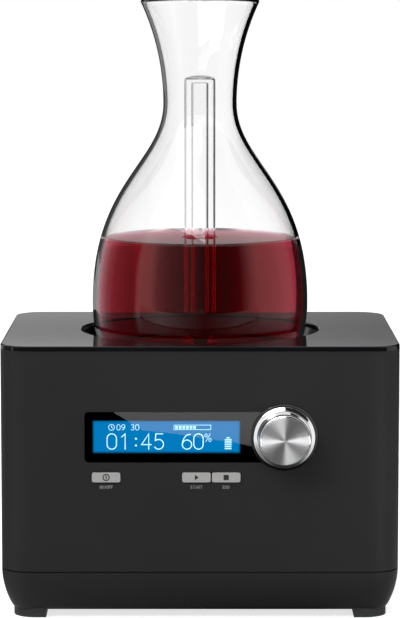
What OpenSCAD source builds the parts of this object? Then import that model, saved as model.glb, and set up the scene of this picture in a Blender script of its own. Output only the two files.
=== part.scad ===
// Electric wine decanter: a glass decanter stands in the well of a powered base,
// where a small air pump blows bubbles through the wine.
// Millimetres. The front faces -Y, up is +Z, and the feet stand on z = 0.

/* [Housing] */
// Width of the housing
body_w = 245.5; // [210:0.5:270]
// Depth of the housing
body_d = 186; // [176:1:214]
// Height of the top plate above the table
body_h = 169.5; // [145:0.5:200]
// Plan radius of the upright corners
corner_r = 18; // [16:0.5:24]
// Thickness of the moulded walls
wall = 2.6; // [2.4:0.1:3]
// Height of the seam between tub and shell
seam_z = 29.8; // [27:0.2:31]
// Open line at the seam
seam_gap = 0.8; // [0.4:0.1:1.2]
// Height of the tub's lip inside the shell
lip_h = 4; // [3:0.5:5]
// Thickness of the top plate
plate_t = 3; // [2.6:0.1:4]
// Height of the top plate's lip inside the shell
plate_lip = 3; // [2:0.25:4]
// Thickness of the top plate's lip
lip_t = 1.5; // [1.2:0.1:2]
// Rounding of the top plate's edge
edge_r = 1; // [0.4:0.1:1.4]
// Distance of the corner screws from the outside of the housing
screw_in = 20; // [19:0.5:22]
// Radius of the housing screws
screw_r = 1.5; // [1.3:0.1:1.8]
// Radius of the housing screws' heads
head_r = 3.2; // [2.8:0.1:3.4]
// Height of the housing screws' heads
head_h = 2.4; // [2:0.1:3]
// How deep the base screws reach into the shell
base_bite = 13; // [10:0.5:16]
// Wall of a screw boss
boss_t = 3; // [2.4:0.1:3.4]
// Length of the shell's screw bosses above the tub
base_boss_h = 26; // [22:1:30]
// Depth of the screw recesses under the tub
sink_h = 10; // [8:0.5:12]
// Wall of the screw recesses under the tub
sink_wall = 1.7; // [1.4:0.1:2.2]
// Length of the top plate's screw bosses
plate_boss_h = 10; // [8:0.5:12]
// Thickness of the shell's screw ledges
ledge_t = 3; // [2.4:0.1:4]
// Thickness of the webs that carry the bosses
web_t = 2.2; // [1.8:0.1:2.6]
// Radius of the small screws
small_r = 1.05; // [0.9:0.05:1.2]
// Radius of the small screws' heads
small_head_r = 2.4; // [2:0.1:2.6]
// Height of the small screws' heads
small_head_h = 1.8; // [1.4:0.1:2]
// Radius of the posts for the small screws
small_post_r = 3.2; // [2.8:0.1:3.6]
// Number of cooling slots in the back
vent_n = 12; // [8:1:14]
// Width of a cooling slot
vent_w = 3; // [2:0.25:4]
// Height of a cooling slot
vent_h = 24; // [18:1:30]
// Distance from one cooling slot to the next
vent_step = 8; // [6:0.5:8.5]
// Height of the lower end of the cooling slots
vent_z = 62; // [60:1:80]
// Clearance round pieces that are fitted into others
fit = 0.15; // [0.1:0.05:0.2]
// Clearance between a screw and its pilot hole
thread = 0.1; // [0.05:0.05:0.15]
// Play of pressed and threaded fits
snug = 0.04; // [0.02:0.01:0.06]
// Small bevel on turned pieces
soft = 0.4; // [0.2:0.05:0.5]

/* [Tub and feet] */
// Height of the feet under the tub
foot_h = 4.5; // [4:0.5:6]
// Lean of the tub wall at the seam, degrees
tub_lean = 1.5; // [1:0.5:10]
// Lean of the tub wall where the bottom rounding starts, degrees
tub_turn = 28; // [23:0.5:32]
// Bottom rounding of the tub
tub_fillet = 6; // [5:0.2:9.4]
// Width of a foot
foot_w = 20.5; // [18:0.5:22]
// Distance of a foot from the outside of the housing
foot_in = 7.2; // [7:0.2:9]
// Plan radius of a foot's outer corner
foot_r = 14; // [10:0.5:16]
// Height of the plugs that hold the feet
plug_h = 4; // [3:0.5:5]

/* [Well and nozzle] */
// Gap between the belly and the round opening in the top plate
well_gap = 7.25; // [5:0.25:10]
// Depth of the well below the top plate
well_depth = 15; // [12:0.5:17]
// How far the well narrows towards its floor
well_taper = 3.5; // [2:0.5:4]
// Thickness of the well's wall and floor
well_t = 2.5; // [2:0.1:3]
// Width of the flange under the top plate
flange_w = 11.4; // [11.2:0.2:14]
// Rounding between the well's wall and floor
well_fillet = 3; // [2:0.25:4]
// Radius of the bosses that centre the flange
well_boss_r = 3.2; // [3:0.1:3.3]
// Radius of the flange screws' heads
well_head_r = 4.2; // [4:0.1:4.3]
// Thickness of the seat ring
seat_t = 2; // [1.6:0.1:2.4]
// Width of the seat ring
seat_w = 6; // [4:0.5:6.5]
// Distance of the seat ring's middle inside the standing ring
seat_in = 4; // [3.5:0.25:4.5]
// Rest gap between the glass and what it stands on
seat_gap = 0.2; // [0.1:0.05:0.3]
// Bore radius of the air nozzle
nozzle_bore = 1.5; // [1.2:0.1:1.7]
// Radius of the nozzle's spigot
nozzle_r = 2.6; // [2.4:0.1:2.8]
// Radius of the nozzle's threaded body
nozzle_body_r = 4; // [3.8:0.1:4.6]
// Width of the nozzle's flange
nozzle_rim = 4; // [3:0.25:5]
// Thickness of the nozzle's flange
nozzle_rim_t = 1.5; // [1.2:0.1:2]
// Height of the nozzle's spigot above its flange
spigot_h = 11; // [10.5:0.25:12]
// Width of the seal's foot
seal_rim = 2.8; // [2.4:0.1:3.2]
// Thickness of the seal's foot
seal_rim_t = 1.2; // [1:0.1:1.6]
// Height of the nozzle's nut
nut_h = 4; // [3:0.25:5]
// Length of the hose barb under the nozzle
barb_len = 12; // [10:0.5:14]
// Gap between the relaxed seal and the glass
seal_gap = 0.35; // [0.3:0.05:0.5]

/* [Decanter] */
// Height of the glass decanter
dec_h = 223; // [205:1:245]
// Outer radius of the belly
belly_r = 68.75; // [62:0.25:73]
// Height of the widest point
belly_h = 31.5; // [26:0.5:40]
// Outer radius of the neck
neck_r = 23.3; // [20:0.1:28]
// Height of the narrowest point
neck_h = 158; // [140:1:170]
// Radius of the flare above the neck
flare_r = 150; // [140:1:200]
// Outer radius of the standing ring
base_r = 52; // [48:0.25:56]
// Fullness of the rounding above the standing ring, outwards
base_full = 0.82; // [0.6:0.01:0.9]
// Fullness of that rounding, upwards
base_rise = 0.33; // [0.2:0.01:0.5]
// Fullness of the shoulder at the belly
belly_full = 0.607; // [0.5:0.001:0.7]
// Fullness of the shoulder at the neck
neck_full = 0.296; // [0.2:0.002:0.35]
// Thickness of the blown wall
glass_t = 2.6; // [2.2:0.1:3.2]
// Width of the standing ring
stand_w = 8; // [6:0.25:10]
// Rise of the underside inside the standing ring
punt_h = 4; // [3:0.25:4.5]
// Wall of the standpipe
pipe_t = 1.3; // [1:0.1:1.8]
// Bore radius of the standpipe
pipe_bore = 4.2; // [3.8:0.1:4.6]
// Height of the standpipe
pipe_h = 171; // [130:1:185]
// Widening of the standpipe's bore at its foot
socket_flare = 1; // [0.8:0.1:1.4]
// Height of the socket for the nozzle
socket_h = 16; // [15:0.5:18]
// Height of the standpipe's thicker foot above the bottom
pipe_foot_h = 6; // [4:0.5:8]
// Height of the taper above that foot
pipe_taper = 10; // [6:0.5:14]
// Clearance between the standpipe's foot and the bubbler tube
foot_gap = 0.6; // [0.4:0.1:1]

/* [Bubbler tube] */
// Outer radius of the bubbler tube
tube_r = 10; // [9.5:0.1:13]
// Thickness of the bubbler tube
tube_t = 1.4; // [1.2:0.1:2.1]
// How far the bubbler tube reaches above the standpipe
tube_over = 3.5; // [3:0.5:14]
// Outer rounding of the closed top
tube_round = 2.4; // [2.2:0.2:6]
// Width of the air notches at the tube's foot
notch_w = 3; // [2:0.25:4]
// Height of the air notches
notch_h = 6; // [4:0.5:8]

/* [Front panel] */
// Distance of the display and knob below the top
panel_drop = 55.8; // [50:0.2:58]
// Left end of the display lens from the centre
lens_left = 70.5; // [69:0.1:71]
// Height of the display lens
lens_h = 31; // [29:0.5:32]
// Corner radius of the display lens
lens_r = 2.5; // [1:0.25:4]
// Thickness of the display lens
lens_t = 1.3; // [1:0.05:1.4]
// How far the lens lies behind the front
lens_set = 0.1; // [0:0.05:0.3]
// Thickness of the black mask behind the lens
mask_t = 0.3; // [0.2:0.05:0.4]
// Width of the lit display
lcd_w = 90.5; // [84:0.5:92]
// Height of the lit display
lcd_h = 20.4; // [19:0.2:22]
// Centre of the lit display from the middle of the front
lcd_x = -20.5; // [-20.5:0.5:-18]
// Width of the dark rim round the lit display
lcd_rim = 2; // [1.5:0.1:2.4]
// Thickness of the display panel
lcd_t = 2; // [1.6:0.1:2.4]
// Width of a button
button_w = 17.4; // [14:0.2:20]
// Height of a button
button_h = 6; // [5:0.2:7]
// Corner radius of a button
button_r = 1.2; // [0.6:0.1:2]
// Distance of the buttons below the display's middle
button_drop = 24.7; // [23:0.1:26]
// Gap round a button
button_gap = 0.3; // [0.2:0.05:0.5]
// Height of a button's retaining lip
button_lip = 1.5; // [1:0.1:2]
// Thickness of a button's retaining lip
lip_d = 1; // [0.8:0.1:1.2]
// Radius of a button's stem
stem_r = 2.2; // [1.8:0.1:2.6]
// How far the buttons stand out
button_out = 0.9; // [0.5:0.1:1.5]
// Place of the power button
power_x = -57.4; // [-58:0.1:-45]
// Middle of the pair of play and stop buttons
pair_x = 6.9; // [0:0.1:12]
// Gap between the play and stop buttons
pair_gap = 0.8; // [0.6:0.1:4]
// Travel of a button
press = 0.8; // [0.5:0.1:0.9]
// Width of a switch body
switch_s = 6.2; // [5.8:0.1:7]
// Height of a switch body
switch_h = 3.8; // [3.4:0.1:4]
// Radius of a switch plunger
plunger_r = 1.6; // [1.4:0.1:1.8]
// Length of a switch plunger
plunger_len = 2.8; // [2.4:0.1:2.9]
// Height of the display board
board_h = 60; // [58:1:64]
// How far the display board lies below the display's middle
board_low = 6; // [5:0.25:7]
// Distance from the front wall to the display board
board_gap = 6.6; // [6.4:0.1:7.4]
// Thickness of the circuit boards
board_t = 1.6; // [1.2:0.1:2]

/* [Knob] */
// Place of the knob
knob_x = 51.5; // [48:0.1:52]
// Radius of the knob's flange
knob_r = 18.9; // [17:0.1:20]
// Height of the knob's flange
knob_rim = 2.5; // [2:0.1:3]
// Width of the flange and slope round the spun face
slope_w = 4.5; // [3.6:0.1:5.5]
// Width of the rim round the spun face
crown_w = 1.5; // [1.2:0.1:1.8]
// How far the knob stands out
knob_out = 16; // [15.5:0.1:19]
// Gap between the knob and the ring round it
ring_gap = 0.45; // [0.35:0.05:0.8]
// Width of the ring round the knob
ring_w = 1.2; // [0.8:0.1:1.8]
// Height of the ring round the knob
ring_h = 1.2; // [0.8:0.1:1.6]
// Radius of the encoder's shaft
shaft_r = 3; // [2.8:0.05:3.1]
// Radius of the encoder's threaded bush
bush_r = 4; // [3.8:0.05:4.4]
// Length of the bush in front of the panel
bush_out = 5; // [4:0.25:6]
// How far the shaft reaches into the encoder
shaft_in = 3; // [2.4:0.1:3.6]
// Flat on the encoder's shaft
shaft_flat = 1.2; // [0.8:0.1:1.5]
// Thickness of the thin nuts
nut_t = 2.2; // [1.8:0.1:2.6]
// Width of the nuts round their threads
nut_w = 3.2; // [2.8:0.1:3.6]
// Width of the encoder
encoder_s = 12.4; // [11:0.1:13]
// Thickness of the spun face
face_t = 1; // [0.8:0.1:1.2]
// Running clearance of turning and sliding pieces
run = 0.1; // [0.06:0.02:0.12]

/* [Pump] */
// Height of the rubber mounts
mount_h = 8; // [7:0.5:9]
// Radius of the rubber mounts
mount_r = 6.5; // [6:0.25:7]
// Bore of the rubber mounts
mount_bore = 3.2; // [3:0.1:3.4]
// Thickness of the pump chassis
chassis_t = 3; // [2.5:0.25:4]
// Width of the laminated core
core_w = 44; // [42:0.5:46]
// Stack height of the laminated core
core_h = 16; // [12:0.5:18]
// Thickness of the core's back bar
core_bar = 6; // [5:0.25:8]
// Length of the core's legs
core_len = 18; // [15:0.5:20]
// Width of the core's outer legs
leg_w = 6; // [5:0.25:7]
// Width of the core's middle leg
leg_mid = 10; // [8:0.25:11]
// Thickness of the winding round the middle leg
coil_t = 7.5; // [5:0.25:8]
// Gap between the core and the arm's magnets
air_gap = 3; // [2.6:0.1:4]
// Thickness of a magnet
magnet_t = 3; // [2:0.25:4]
// Width of a magnet
magnet_w = 8; // [6:0.25:9]
// Height of a magnet
magnet_h = 10; // [8:0.25:12]
// Thickness of the swinging arm
arm_t = 4; // [3:0.25:5]
// Height of the swinging arm
arm_h = 12; // [10:0.5:14]
// Radius of the arm's hub
hub_r = 5; // [4.6:0.1:6]
// Radius of the pivot pin
pivot_r = 2; // [1.8:0.1:2.4]
// Radius of the diaphragm's rim
rim_r = 13.5; // [12.5:0.25:14]
// Distance from the arm to the valve chamber
stroke_l = 12; // [11:0.25:14]
// Rest gap between the arm and the diaphragm
arm_gap = 0.2; // [0.1:0.05:0.3]
// Width of the valve chamber
chamber_w = 32; // [30:0.5:36]
// Thickness of the valve chamber
chamber_t = 14; // [12:0.5:16]
// Thickness of the valve cover
cover_t = 4; // [3:0.25:5]
// Middle of the valve chamber from the middle of the core
chamber_y = 5; // [4:0.25:6]
// Distance between the inlet and the outlet
port_gap = 14; // [13:0.25:16]
// Radius of the hose nipples
nipple_r = 3; // [2.8:0.1:3.2]
// Length of the hose nipples
nipple_len = 9; // [8:0.25:11]
// Radius of the air passages
port_r = 1.6; // [1.4:0.1:1.8]
// Wall of the hoses
hose_t = 1.5; // [1.2:0.1:1.8]
// Bend radius of the hoses
hose_bend = 10; // [8:0.5:11]
// Radius of the check valve
valve_r = 8; // [6.5:0.25:9]
// Length of the check valve's body
valve_len = 20; // [16:0.5:24]
// Wall of the check valve
valve_wall = 2; // [1.6:0.1:2.4]
// Width of the check valve's rim
valve_rim = 1.5; // [1:0.1:2]

/* [Filter and electrics] */
// Distance of the filter from the right side
filter_side = 40; // [38:0.5:42]
// Distance of the filter from the back
filter_back = 24; // [22:0.5:26]
// Distance of the control board from the right side
ctrl_side = 28; // [26:0.5:30]
// Distance of the control board from the front
ctrl_front = 22; // [20:0.5:24]
// Distance of the board screws from the control board's edges
ctrl_edge = 4; // [3.5:0.25:5]
// Distance of the power inlet from the right side
jack_side = 32; // [30:0.5:34]
// Place of the power lead behind the control board's middle
dc_off = 4; // [3:0.25:5]
// Place of the pump lead in front of the control board's middle
lead_off = 10; // [9:0.25:11]
// Distance of the pump lead from the control board's end
lead_edge = 8; // [7:0.25:9]
// Place of the display ribbon left of the control board's middle
ribbon_off = 12; // [11:0.25:13]
// Height of the display ribbon above the display board's lower edge
ribbon_up = 8; // [7:0.25:9]
// Distance from the display board to the start of the ribbon
ribbon_plug = 5; // [4:0.25:6]
// Radius of the filter canister
filter_r = 24; // [20:0.5:25]
// Height of the filter canister
filter_h = 90; // [70:1:96]
// Wall of the filter canister
filter_wall = 2; // [1.6:0.1:2.4]
// Height of the filter's holder
holder_h = 6; // [5:0.5:8]
// Thickness of the filter cap
cap_t = 3; // [2:0.25:4]
// Length of the filter cap's plug
plug_len = 6; // [5:0.5:8]
// Radius of the holes in the filter cap
cap_hole = 3; // [2:0.25:3.5]
// Thickness of the filter foam
foam_t = 11.5; // [8:0.5:13]
// Width of the control board
ctrl_w = 80; // [78:1:82]
// Depth of the control board
ctrl_d = 46; // [44:1:47]
// Height of the control board's posts
ctrl_post = 6; // [5:0.5:8]
// Height of the connectors on the control board
conn_h = 8; // [6:0.5:10]
// Width of the connectors on the control board
conn_w = 8; // [7:0.25:8.5]
// Radius of the large capacitor
cap_r = 6; // [5:0.25:6.5]
// Height of the large capacitor
cap_h = 16; // [12:0.5:17]
// Width of the transformer
trafo_w = 18; // [16:0.5:18]
// Depth of the transformer
trafo_d = 14; // [12:0.5:15]
// Width of the controller chip
chip_w = 12; // [10:0.5:13]
// Radius of the power lead
dc_r = 2; // [1.6:0.1:2.4]
// Radius of the pump lead
lead_r = 1.6; // [1.2:0.1:1.8]
// Bend radius of the leads
lead_bend = 8; // [6:0.5:9]
// Width of the display ribbon
ribbon_w = 14; // [10:0.5:16]
// Thickness of the display ribbon
ribbon_t = 0.8; // [0.5:0.1:1]
// Bend radius of the display ribbon
ribbon_bend = 6; // [4:0.5:7]
// Radius of the power inlet's barrel
jack_r = 4; // [3.8:0.1:4.5]
// Width of the power inlet's rim
jack_rim = 1.6; // [1.2:0.1:2.4]
// Depth of the plug's hole
plug_d = 9; // [8:0.25:10]
// Radius of the pin in the power inlet
pin_r = 1; // [0.8:0.05:1.2]
// Length of the power inlet's barrel
jack_len = 15; // [13:0.5:18]
// Radius of the plug's hole in the power inlet
plug_r = 2.75; // [2.5:0.05:3]
// Height of the power inlet
jack_z = 46; // [45:1:60]

/* [Hidden] */
$fn = 72;
axis_y = knob_out / 2;
floor_z = foot_h + wall;
plate_z = body_h - plate_t;
well_z = body_h - well_depth;
dec_z = well_z + seat_t / 2 + seat_gap;
front_y = -body_d / 2;
inner_y = front_y + wall;
board_y = inner_y + board_gap;
back_y = body_d / 2;
seam_top = seam_z + seam_gap / 2;
seam_low = seam_z - seam_gap / 2;
shoulder_z = seam_z + lip_h;
pilot_r = screw_r + thread;
hole_r = screw_r + 0.4;
boss_r = pilot_r + boss_t;
sink_r = head_r + 0.5;
small_pilot = small_r + thread;
small_hole = small_r + 0.25;
corner_pts = [for (sx = [-1, 1], sy = [-1, 1]) [sx, sy]];

// tub wall curve: a slow arc from the seam, then the bottom rounding
tub_drop = seam_low - foot_h;
tub_arc = (tub_drop - tub_fillet * (1 - sin(tub_turn))) / (sin(tub_turn) - sin(tub_lean));
arc_c = [corner_r - tub_arc * cos(tub_lean), seam_low + tub_arc * sin(tub_lean)];
turn_p = arc_c + tub_arc * [cos(tub_turn), -sin(tub_turn)];
fillet_c = turn_p - tub_fillet * [cos(tub_turn), -sin(tub_turn)];

// front panel
panel_z = body_h - panel_drop;
lens_front = front_y + lens_set;
pocket_y = lens_front + lens_t + mask_t;
board_w = 2 * lens_left + 8.6;
board_z = panel_z - board_low;
board_pts = [for (s = corner_pts) [s[0] * (board_w / 2 - 5), board_z + s[1] * (board_h / 2 - 4)]];
button_z = panel_z - button_drop;
play_x = pair_x - (button_w + pair_gap) / 2;
stop_x = pair_x + (button_w + pair_gap) / 2;
button_xs = [power_x, play_x, stop_x];
stem_y = board_y - switch_h - press;

// knob
hub_z = bush_out + 2;
knob_back = 0.5;
knob_bore = bush_r + nut_w + 1.2;
face_r = knob_r - slope_w;
ring_in = knob_r + ring_gap;
ring_r = ring_in + ring_w;

// well floor fittings
well_r = belly_r + well_gap;
floor_r = well_r - well_taper;
flange_z = plate_z - well_t;
well_pts = [for (a = [45:90:315]) (well_r + (well_t + flange_w) / 2) * [cos(a), sin(a)]];
plate_in = wall + lip_t + 2 * fit;
seat_r = base_r - seat_in;
barb_top = well_z - well_t - nut_h - 1;
barb_low = barb_top - barb_len;
seal_low = well_z + nozzle_rim_t;
socket_r = pipe_bore + socket_flare;
pipe_r = pipe_bore + pipe_t;
tube_top = pipe_h + tube_over;
bowl_top = belly_h + 0.46 * (neck_h - belly_h);
shoulder_top = belly_h + 0.84 * (neck_h - belly_h);
pipe_foot = tube_r - tube_t - foot_gap;
glass_floor = punt_h + glass_t;

// pump, measured from the arm's face, its outlet in line with the nozzle
leg_x = -arm_t - magnet_t - air_gap;
bar_x = leg_x - core_len;
core_x = bar_x - core_bar;
leg_y = core_w / 2 - leg_w / 2;
cover_x = stroke_l + chamber_t;
nipple_x = cover_x + cover_t;
nipple_end = nipple_x + nipple_len;
ports = [chamber_y - port_gap / 2, chamber_y + port_gap / 2];
pump_x = -nipple_end - hose_bend - 2;
pump_y = -ports[1];
deck_z = floor_z + mount_h + chassis_t;
coil_w = leg_mid + 2 * coil_t;
coil_h = core_h + 2 * coil_t;
core_z = deck_z + 2 + coil_h / 2;
core_low = core_z - core_h / 2;
chamber_h = 2 * (core_z - deck_z) - 3;
pivot_p = [-arm_t / 2, -core_w / 2 - hub_r];
arm_end = core_w / 2 + 2;
deck_lo = [core_x - 5, pivot_p[1] - hub_r - 5];
deck_hi = [nipple_x + 1, core_w / 2 + 13];
mount_in = mount_r - 0.5;
mount_pts = [for (x = [deck_lo[0] + mount_in, deck_hi[0] - mount_in],
    y = [deck_lo[1] + mount_in, deck_hi[1] - mount_in]) [x, y]];
hose_in = nipple_r + snug;
hose_out = hose_in + hose_t;
valve_low = (core_z + hose_bend + barb_low - valve_len) / 2;

// filter and electrics, kept by the right wall
filter_x = body_w / 2 - filter_r - filter_side;
filter_y = body_d / 2 - filter_r - filter_back;
ctrl_c = [body_w / 2 - ctrl_w / 2 - ctrl_side, ctrl_d / 2 + ctrl_front - body_d / 2];
ctrl_z = floor_z + ctrl_post;
ctrl_top = ctrl_z + board_t;
ctrl_pts = [for (s = corner_pts)
    ctrl_c + [s[0] * (ctrl_w / 2 - ctrl_edge), s[1] * (ctrl_d / 2 - ctrl_edge)]];
jack_x = body_w / 2 - jack_side;
dc_y = ctrl_c[1] + dc_off;
lead_y = ctrl_c[1] - lead_off;
lead_x = ctrl_c[0] - ctrl_w / 2 + lead_edge;
lead_z = core_z + core_h / 2 + lead_r + 0.2;
ribbon_x = ctrl_c[0] - ribbon_off;
ribbon_z = board_z - board_h / 2 + ribbon_up;
ribbon_y = board_y + board_t + ribbon_w;

// Outlines

function arc(c, r, a0, a1, n) =
    [for (i = [0:n]) c + r * [cos(a0 + (a1 - a0) * i / n), sin(a0 + (a1 - a0) * i / n)]];

function curve(a, b, c, d, n) =
    [for (i = [0:n]) let (t = i / n, u = 1 - t) u*u*u*a + 3*t*u*u*b + 3*t*t*u*c + t*t*t*d];

function tail(p) = [for (i = [1:len(p) - 1]) p[i]];

function reversed(p) = [for (i = [len(p) - 1:-1:0]) p[i]];

// points moved to the left of the way the outline runs
function inset(p, t) = [for (i = [0:len(p) - 1])
    let (d = p[min(i + 1, len(p) - 1)] - p[max(i - 1, 0)]) p[i] + t * [-d[1], d[0]] / norm(d)];

function tub_outer() = concat(
    arc(arc_c, tub_arc, -tub_lean, -tub_turn, 8),
    tail(arc(fillet_c, tub_fillet, -tub_turn, -90, 10)));

function tub_inner() = concat(
    arc(arc_c, tub_arc - wall, -tub_lean, -tub_turn, 8),
    tail(arc(fillet_c, tub_fillet - wall, -tub_turn, -90, 10)));

function dec_shoulder() = curve([belly_r, belly_h], [belly_r, belly_h + belly_full * (neck_h - belly_h)],
    [neck_r, neck_h - neck_full * (neck_h - belly_h)], [neck_r, neck_h], 20);

flare_a = asin((dec_h - glass_t / 2 - neck_h) / flare_r);

function dec_flare() = arc([neck_r + flare_r, neck_h], flare_r, 180, 180 - flare_a, 12);

function dec_wall() = concat(dec_shoulder(), tail(dec_flare()));

function dec_rim() = let (p = dec_wall(), e = p[len(p) - 1], d = [sin(flare_a), cos(flare_a)],
    n = [-d[1], d[0]]) [for (a = [22.5:22.5:157.5]) e + glass_t / 2 * ((1 - cos(a)) * n + sin(a) * d)];

function dec_corner() = curve([base_r, 0], [base_r + base_full * (belly_r - base_r), 0],
    [belly_r, base_rise * belly_h], [belly_r, belly_h], 12);

function dec_punt() = curve([base_r - 2 * stand_w, punt_h], [base_r - 1.5 * stand_w, punt_h],
    [base_r - 1.5 * stand_w, 0], [base_r - stand_w, 0], 8);

// Shared shapes

module at_axis() {
    translate([0, axis_y, 0]) children();
}

module rounded(w, h, r) {
    square([w - 2 * r, h], center = true);
    square([w, h - 2 * r], center = true);
    for (s = corner_pts) translate([s[0] * (w / 2 - r), s[1] * (h / 2 - r)]) circle(r);
}

// an outline carried round a rounded rectangle, its x measured from the corner's centre
module carried(w, d, r) {
    for (k = [0:3]) {
        a = k % 2 == 0 ? w : d;
        b = k % 2 == 0 ? d : w;
        rotate(90 * k) translate([a / 2 - r, b / 2 - r, 0]) rotate_extrude(angle = 90) children();
        rotate(90 * k) translate([a / 2 - r, b / 2 - r, 0]) rotate([90, 0, 0])
            linear_extrude(b - 2 * r) children();
    }
}

// a flat outline seen from the front, from depth y0 inwards
module facing(y0, t) {
    translate([0, y0 + t, 0]) rotate([90, 0, 0]) linear_extrude(t) children();
}

// a round piece on the knob's axis, its height measured out from the front
module on_knob() {
    translate([knob_x, front_y, panel_z]) rotate([90, 0, 0]) children();
}

module screw(top_r, top_h, r, len) {
    difference() {
        union() {
            translate([0, 0, -top_h]) cylinder(r = top_r, h = top_h);
            cylinder(r = r, h = len);
        }
        translate([0, 0, -top_h - 1]) cylinder(r = top_r * 0.45, h = 1 + top_h * 0.6, $fn = 6);
    }
}

module ring(r1, r2, h) {
    difference() {
        cylinder(r = r1, h = h);
        translate([0, 0, -1]) cylinder(r = r2, h = h + 2);
    }
}

// a quarter bend of a tube in the x, y plane, from the x axis to the y axis
module bend(bend_r, r1, r2) {
    rotate_extrude(angle = 90) translate([bend_r, 0]) difference() {
        circle(r1);
        if (r2 > 0) circle(r2);
    }
}

// Housing

module lens_shape(g) {
    difference() {
        translate([(knob_x - lens_left) / 2, panel_z])
            rounded(knob_x + lens_left + 2 * g, lens_h + 2 * g, lens_r + g);
        translate([knob_x, panel_z]) circle(ring_in + ring_w / 6 - g);
        translate([knob_x, panel_z - lens_h]) square([lens_h, 2 * lens_h]);
    }
}

module corner_post(z0, z1, r) {
    for (s = corner_pts)
        translate([s[0] * (body_w / 2 - screw_in), s[1] * (body_d / 2 - screw_in), z0])
            cylinder(r = r, h = z1 - z0);
}

module button_slots() {
    slot_h = button_h + 2 * button_gap;
    slot_r = button_r + button_gap;
    facing(front_y - 1, wall + 2) translate([power_x, button_z])
        rounded(button_w + 2 * button_gap, slot_h, slot_r);
    facing(front_y - 1, wall + 2) translate([pair_x, button_z])
        rounded(2 * button_w + pair_gap + 2 * button_gap, slot_h, slot_r);
}

module main_shell() {
    x0 = corner_r;
    ledge_z = plate_z - plate_boss_h - ledge_t;
    web = screw_in - wall / 2;
    color([0.17, 0.17, 0.18]) at_axis() difference() {
        union() {
            carried(body_w, body_d, corner_r) polygon([[x0, seam_top], [x0, plate_z],
                [x0 - wall, plate_z], [x0 - wall, shoulder_z], [x0 - wall / 2, shoulder_z],
                [x0 - wall / 2, seam_top]]);
            translate([0, 0, ledge_z]) linear_extrude(ledge_t) intersection() {
                rounded(body_w - wall, body_d - wall, corner_r - wall / 2);
                for (s = corner_pts) translate([s[0] * body_w / 2, s[1] * body_d / 2])
                    square(2 * (screw_in + boss_r + web_t), center = true);
            }
            corner_post(shoulder_z, shoulder_z + base_boss_h, boss_r);
            for (s = corner_pts) translate([s[0] * (body_w / 2 - screw_in), s[1] * (body_d / 2 - screw_in),
                shoulder_z]) {
                translate([s[0] > 0 ? 0 : -web, -web_t / 2, 0]) cube([web, web_t, base_boss_h]);
                translate([-web_t / 2, s[1] > 0 ? 0 : -web, 0]) cube([web_t, web, base_boss_h]);
            }
            for (p = board_pts) translate([p[0], board_y, p[1]]) rotate([90, 0, 0])
                cylinder(r = small_post_r, h = board_gap + wall / 4);
        }
        facing(front_y - 1, pocket_y - front_y + 1) lens_shape(fit);
        facing(front_y - 1, wall + 2) translate([lcd_x, panel_z])
            rounded(lcd_w + lcd_rim, lcd_h + lcd_rim, lcd_rim / 2);
        on_knob() translate([0, 0, -wall - 1]) cylinder(r = bush_r + fit, h = wall + 2);
        button_slots();
        for (i = [0:vent_n - 1])
            translate([vent_step * (i - (vent_n - 1) / 2) - vent_w / 2, back_y - wall - 1, vent_z])
                cube([vent_w, wall + 2, vent_h]);
        translate([jack_x, back_y - wall - 1, jack_z]) rotate([-90, 0, 0])
            cylinder(r = jack_r + fit, h = wall + 2);
        translate([jack_x, back_y - wall / 2, jack_z]) rotate([-90, 0, 0])
            cylinder(r = jack_r + jack_rim + fit, h = wall);
        corner_post(shoulder_z - 1, shoulder_z + base_bite + 2, pilot_r);
        corner_post(ledge_z - 1, ledge_z + ledge_t + 1, hole_r);
        for (p = board_pts) translate([p[0], board_y + 1, p[1]]) rotate([90, 0, 0])
            cylinder(r = small_pilot, h = board_gap);
    }
}

module tub_solid(drop) {
    translate([0, 0, -drop]) {
        carried(body_w, body_d, corner_r)
            polygon(concat(tub_outer(), [[0, foot_h], [0, seam_low]]));
        translate([corner_r - body_w / 2, corner_r - body_d / 2, foot_h])
            cube([body_w - 2 * corner_r, body_d - 2 * corner_r, seam_low - foot_h]);
    }
}

module base_tub() {
    in_top = arc_c + (tub_arc - wall) * [cos(tub_lean), -sin(tub_lean)];
    lip_x = corner_r - wall / 2 - fit;
    color([0.15, 0.15, 0.16]) at_axis() difference() {
        union() {
            carried(body_w, body_d, corner_r) polygon(concat(tub_outer(),
                [[0, foot_h], [0, floor_z]], reversed(tub_inner()),
                [[in_top[0], shoulder_z], [lip_x, shoulder_z], [lip_x, seam_low]]));
            translate([corner_r - body_w / 2, corner_r - body_d / 2, foot_h])
                cube([body_w - 2 * corner_r, body_d - 2 * corner_r, wall]);
            corner_post(foot_h + wall / 2, shoulder_z, sink_r + sink_wall);
            on_pump() for (p = mount_pts) translate([p[0], p[1], floor_z - 1])
                cylinder(r = mount_bore - 0.2, h = mount_h);
            for (p = ctrl_pts) translate([p[0], p[1], floor_z - 1])
                cylinder(r = small_post_r, h = ctrl_post + 1);
            translate([filter_x, filter_y, floor_z - 1])
                ring(filter_r + fit + filter_wall, filter_r + fit, holder_h + 1);
        }
        corner_post(foot_h - 1, foot_h + sink_h, sink_r);
        corner_post(foot_h, shoulder_z + 1, hole_r);
        on_pump() for (p = mount_pts) translate([p[0], p[1], floor_z + 0.5])
            cylinder(r = small_pilot, h = mount_h);
        for (p = ctrl_pts) translate([p[0], p[1], floor_z]) cylinder(r = small_pilot, h = ctrl_post + 1);
    }
}

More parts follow.
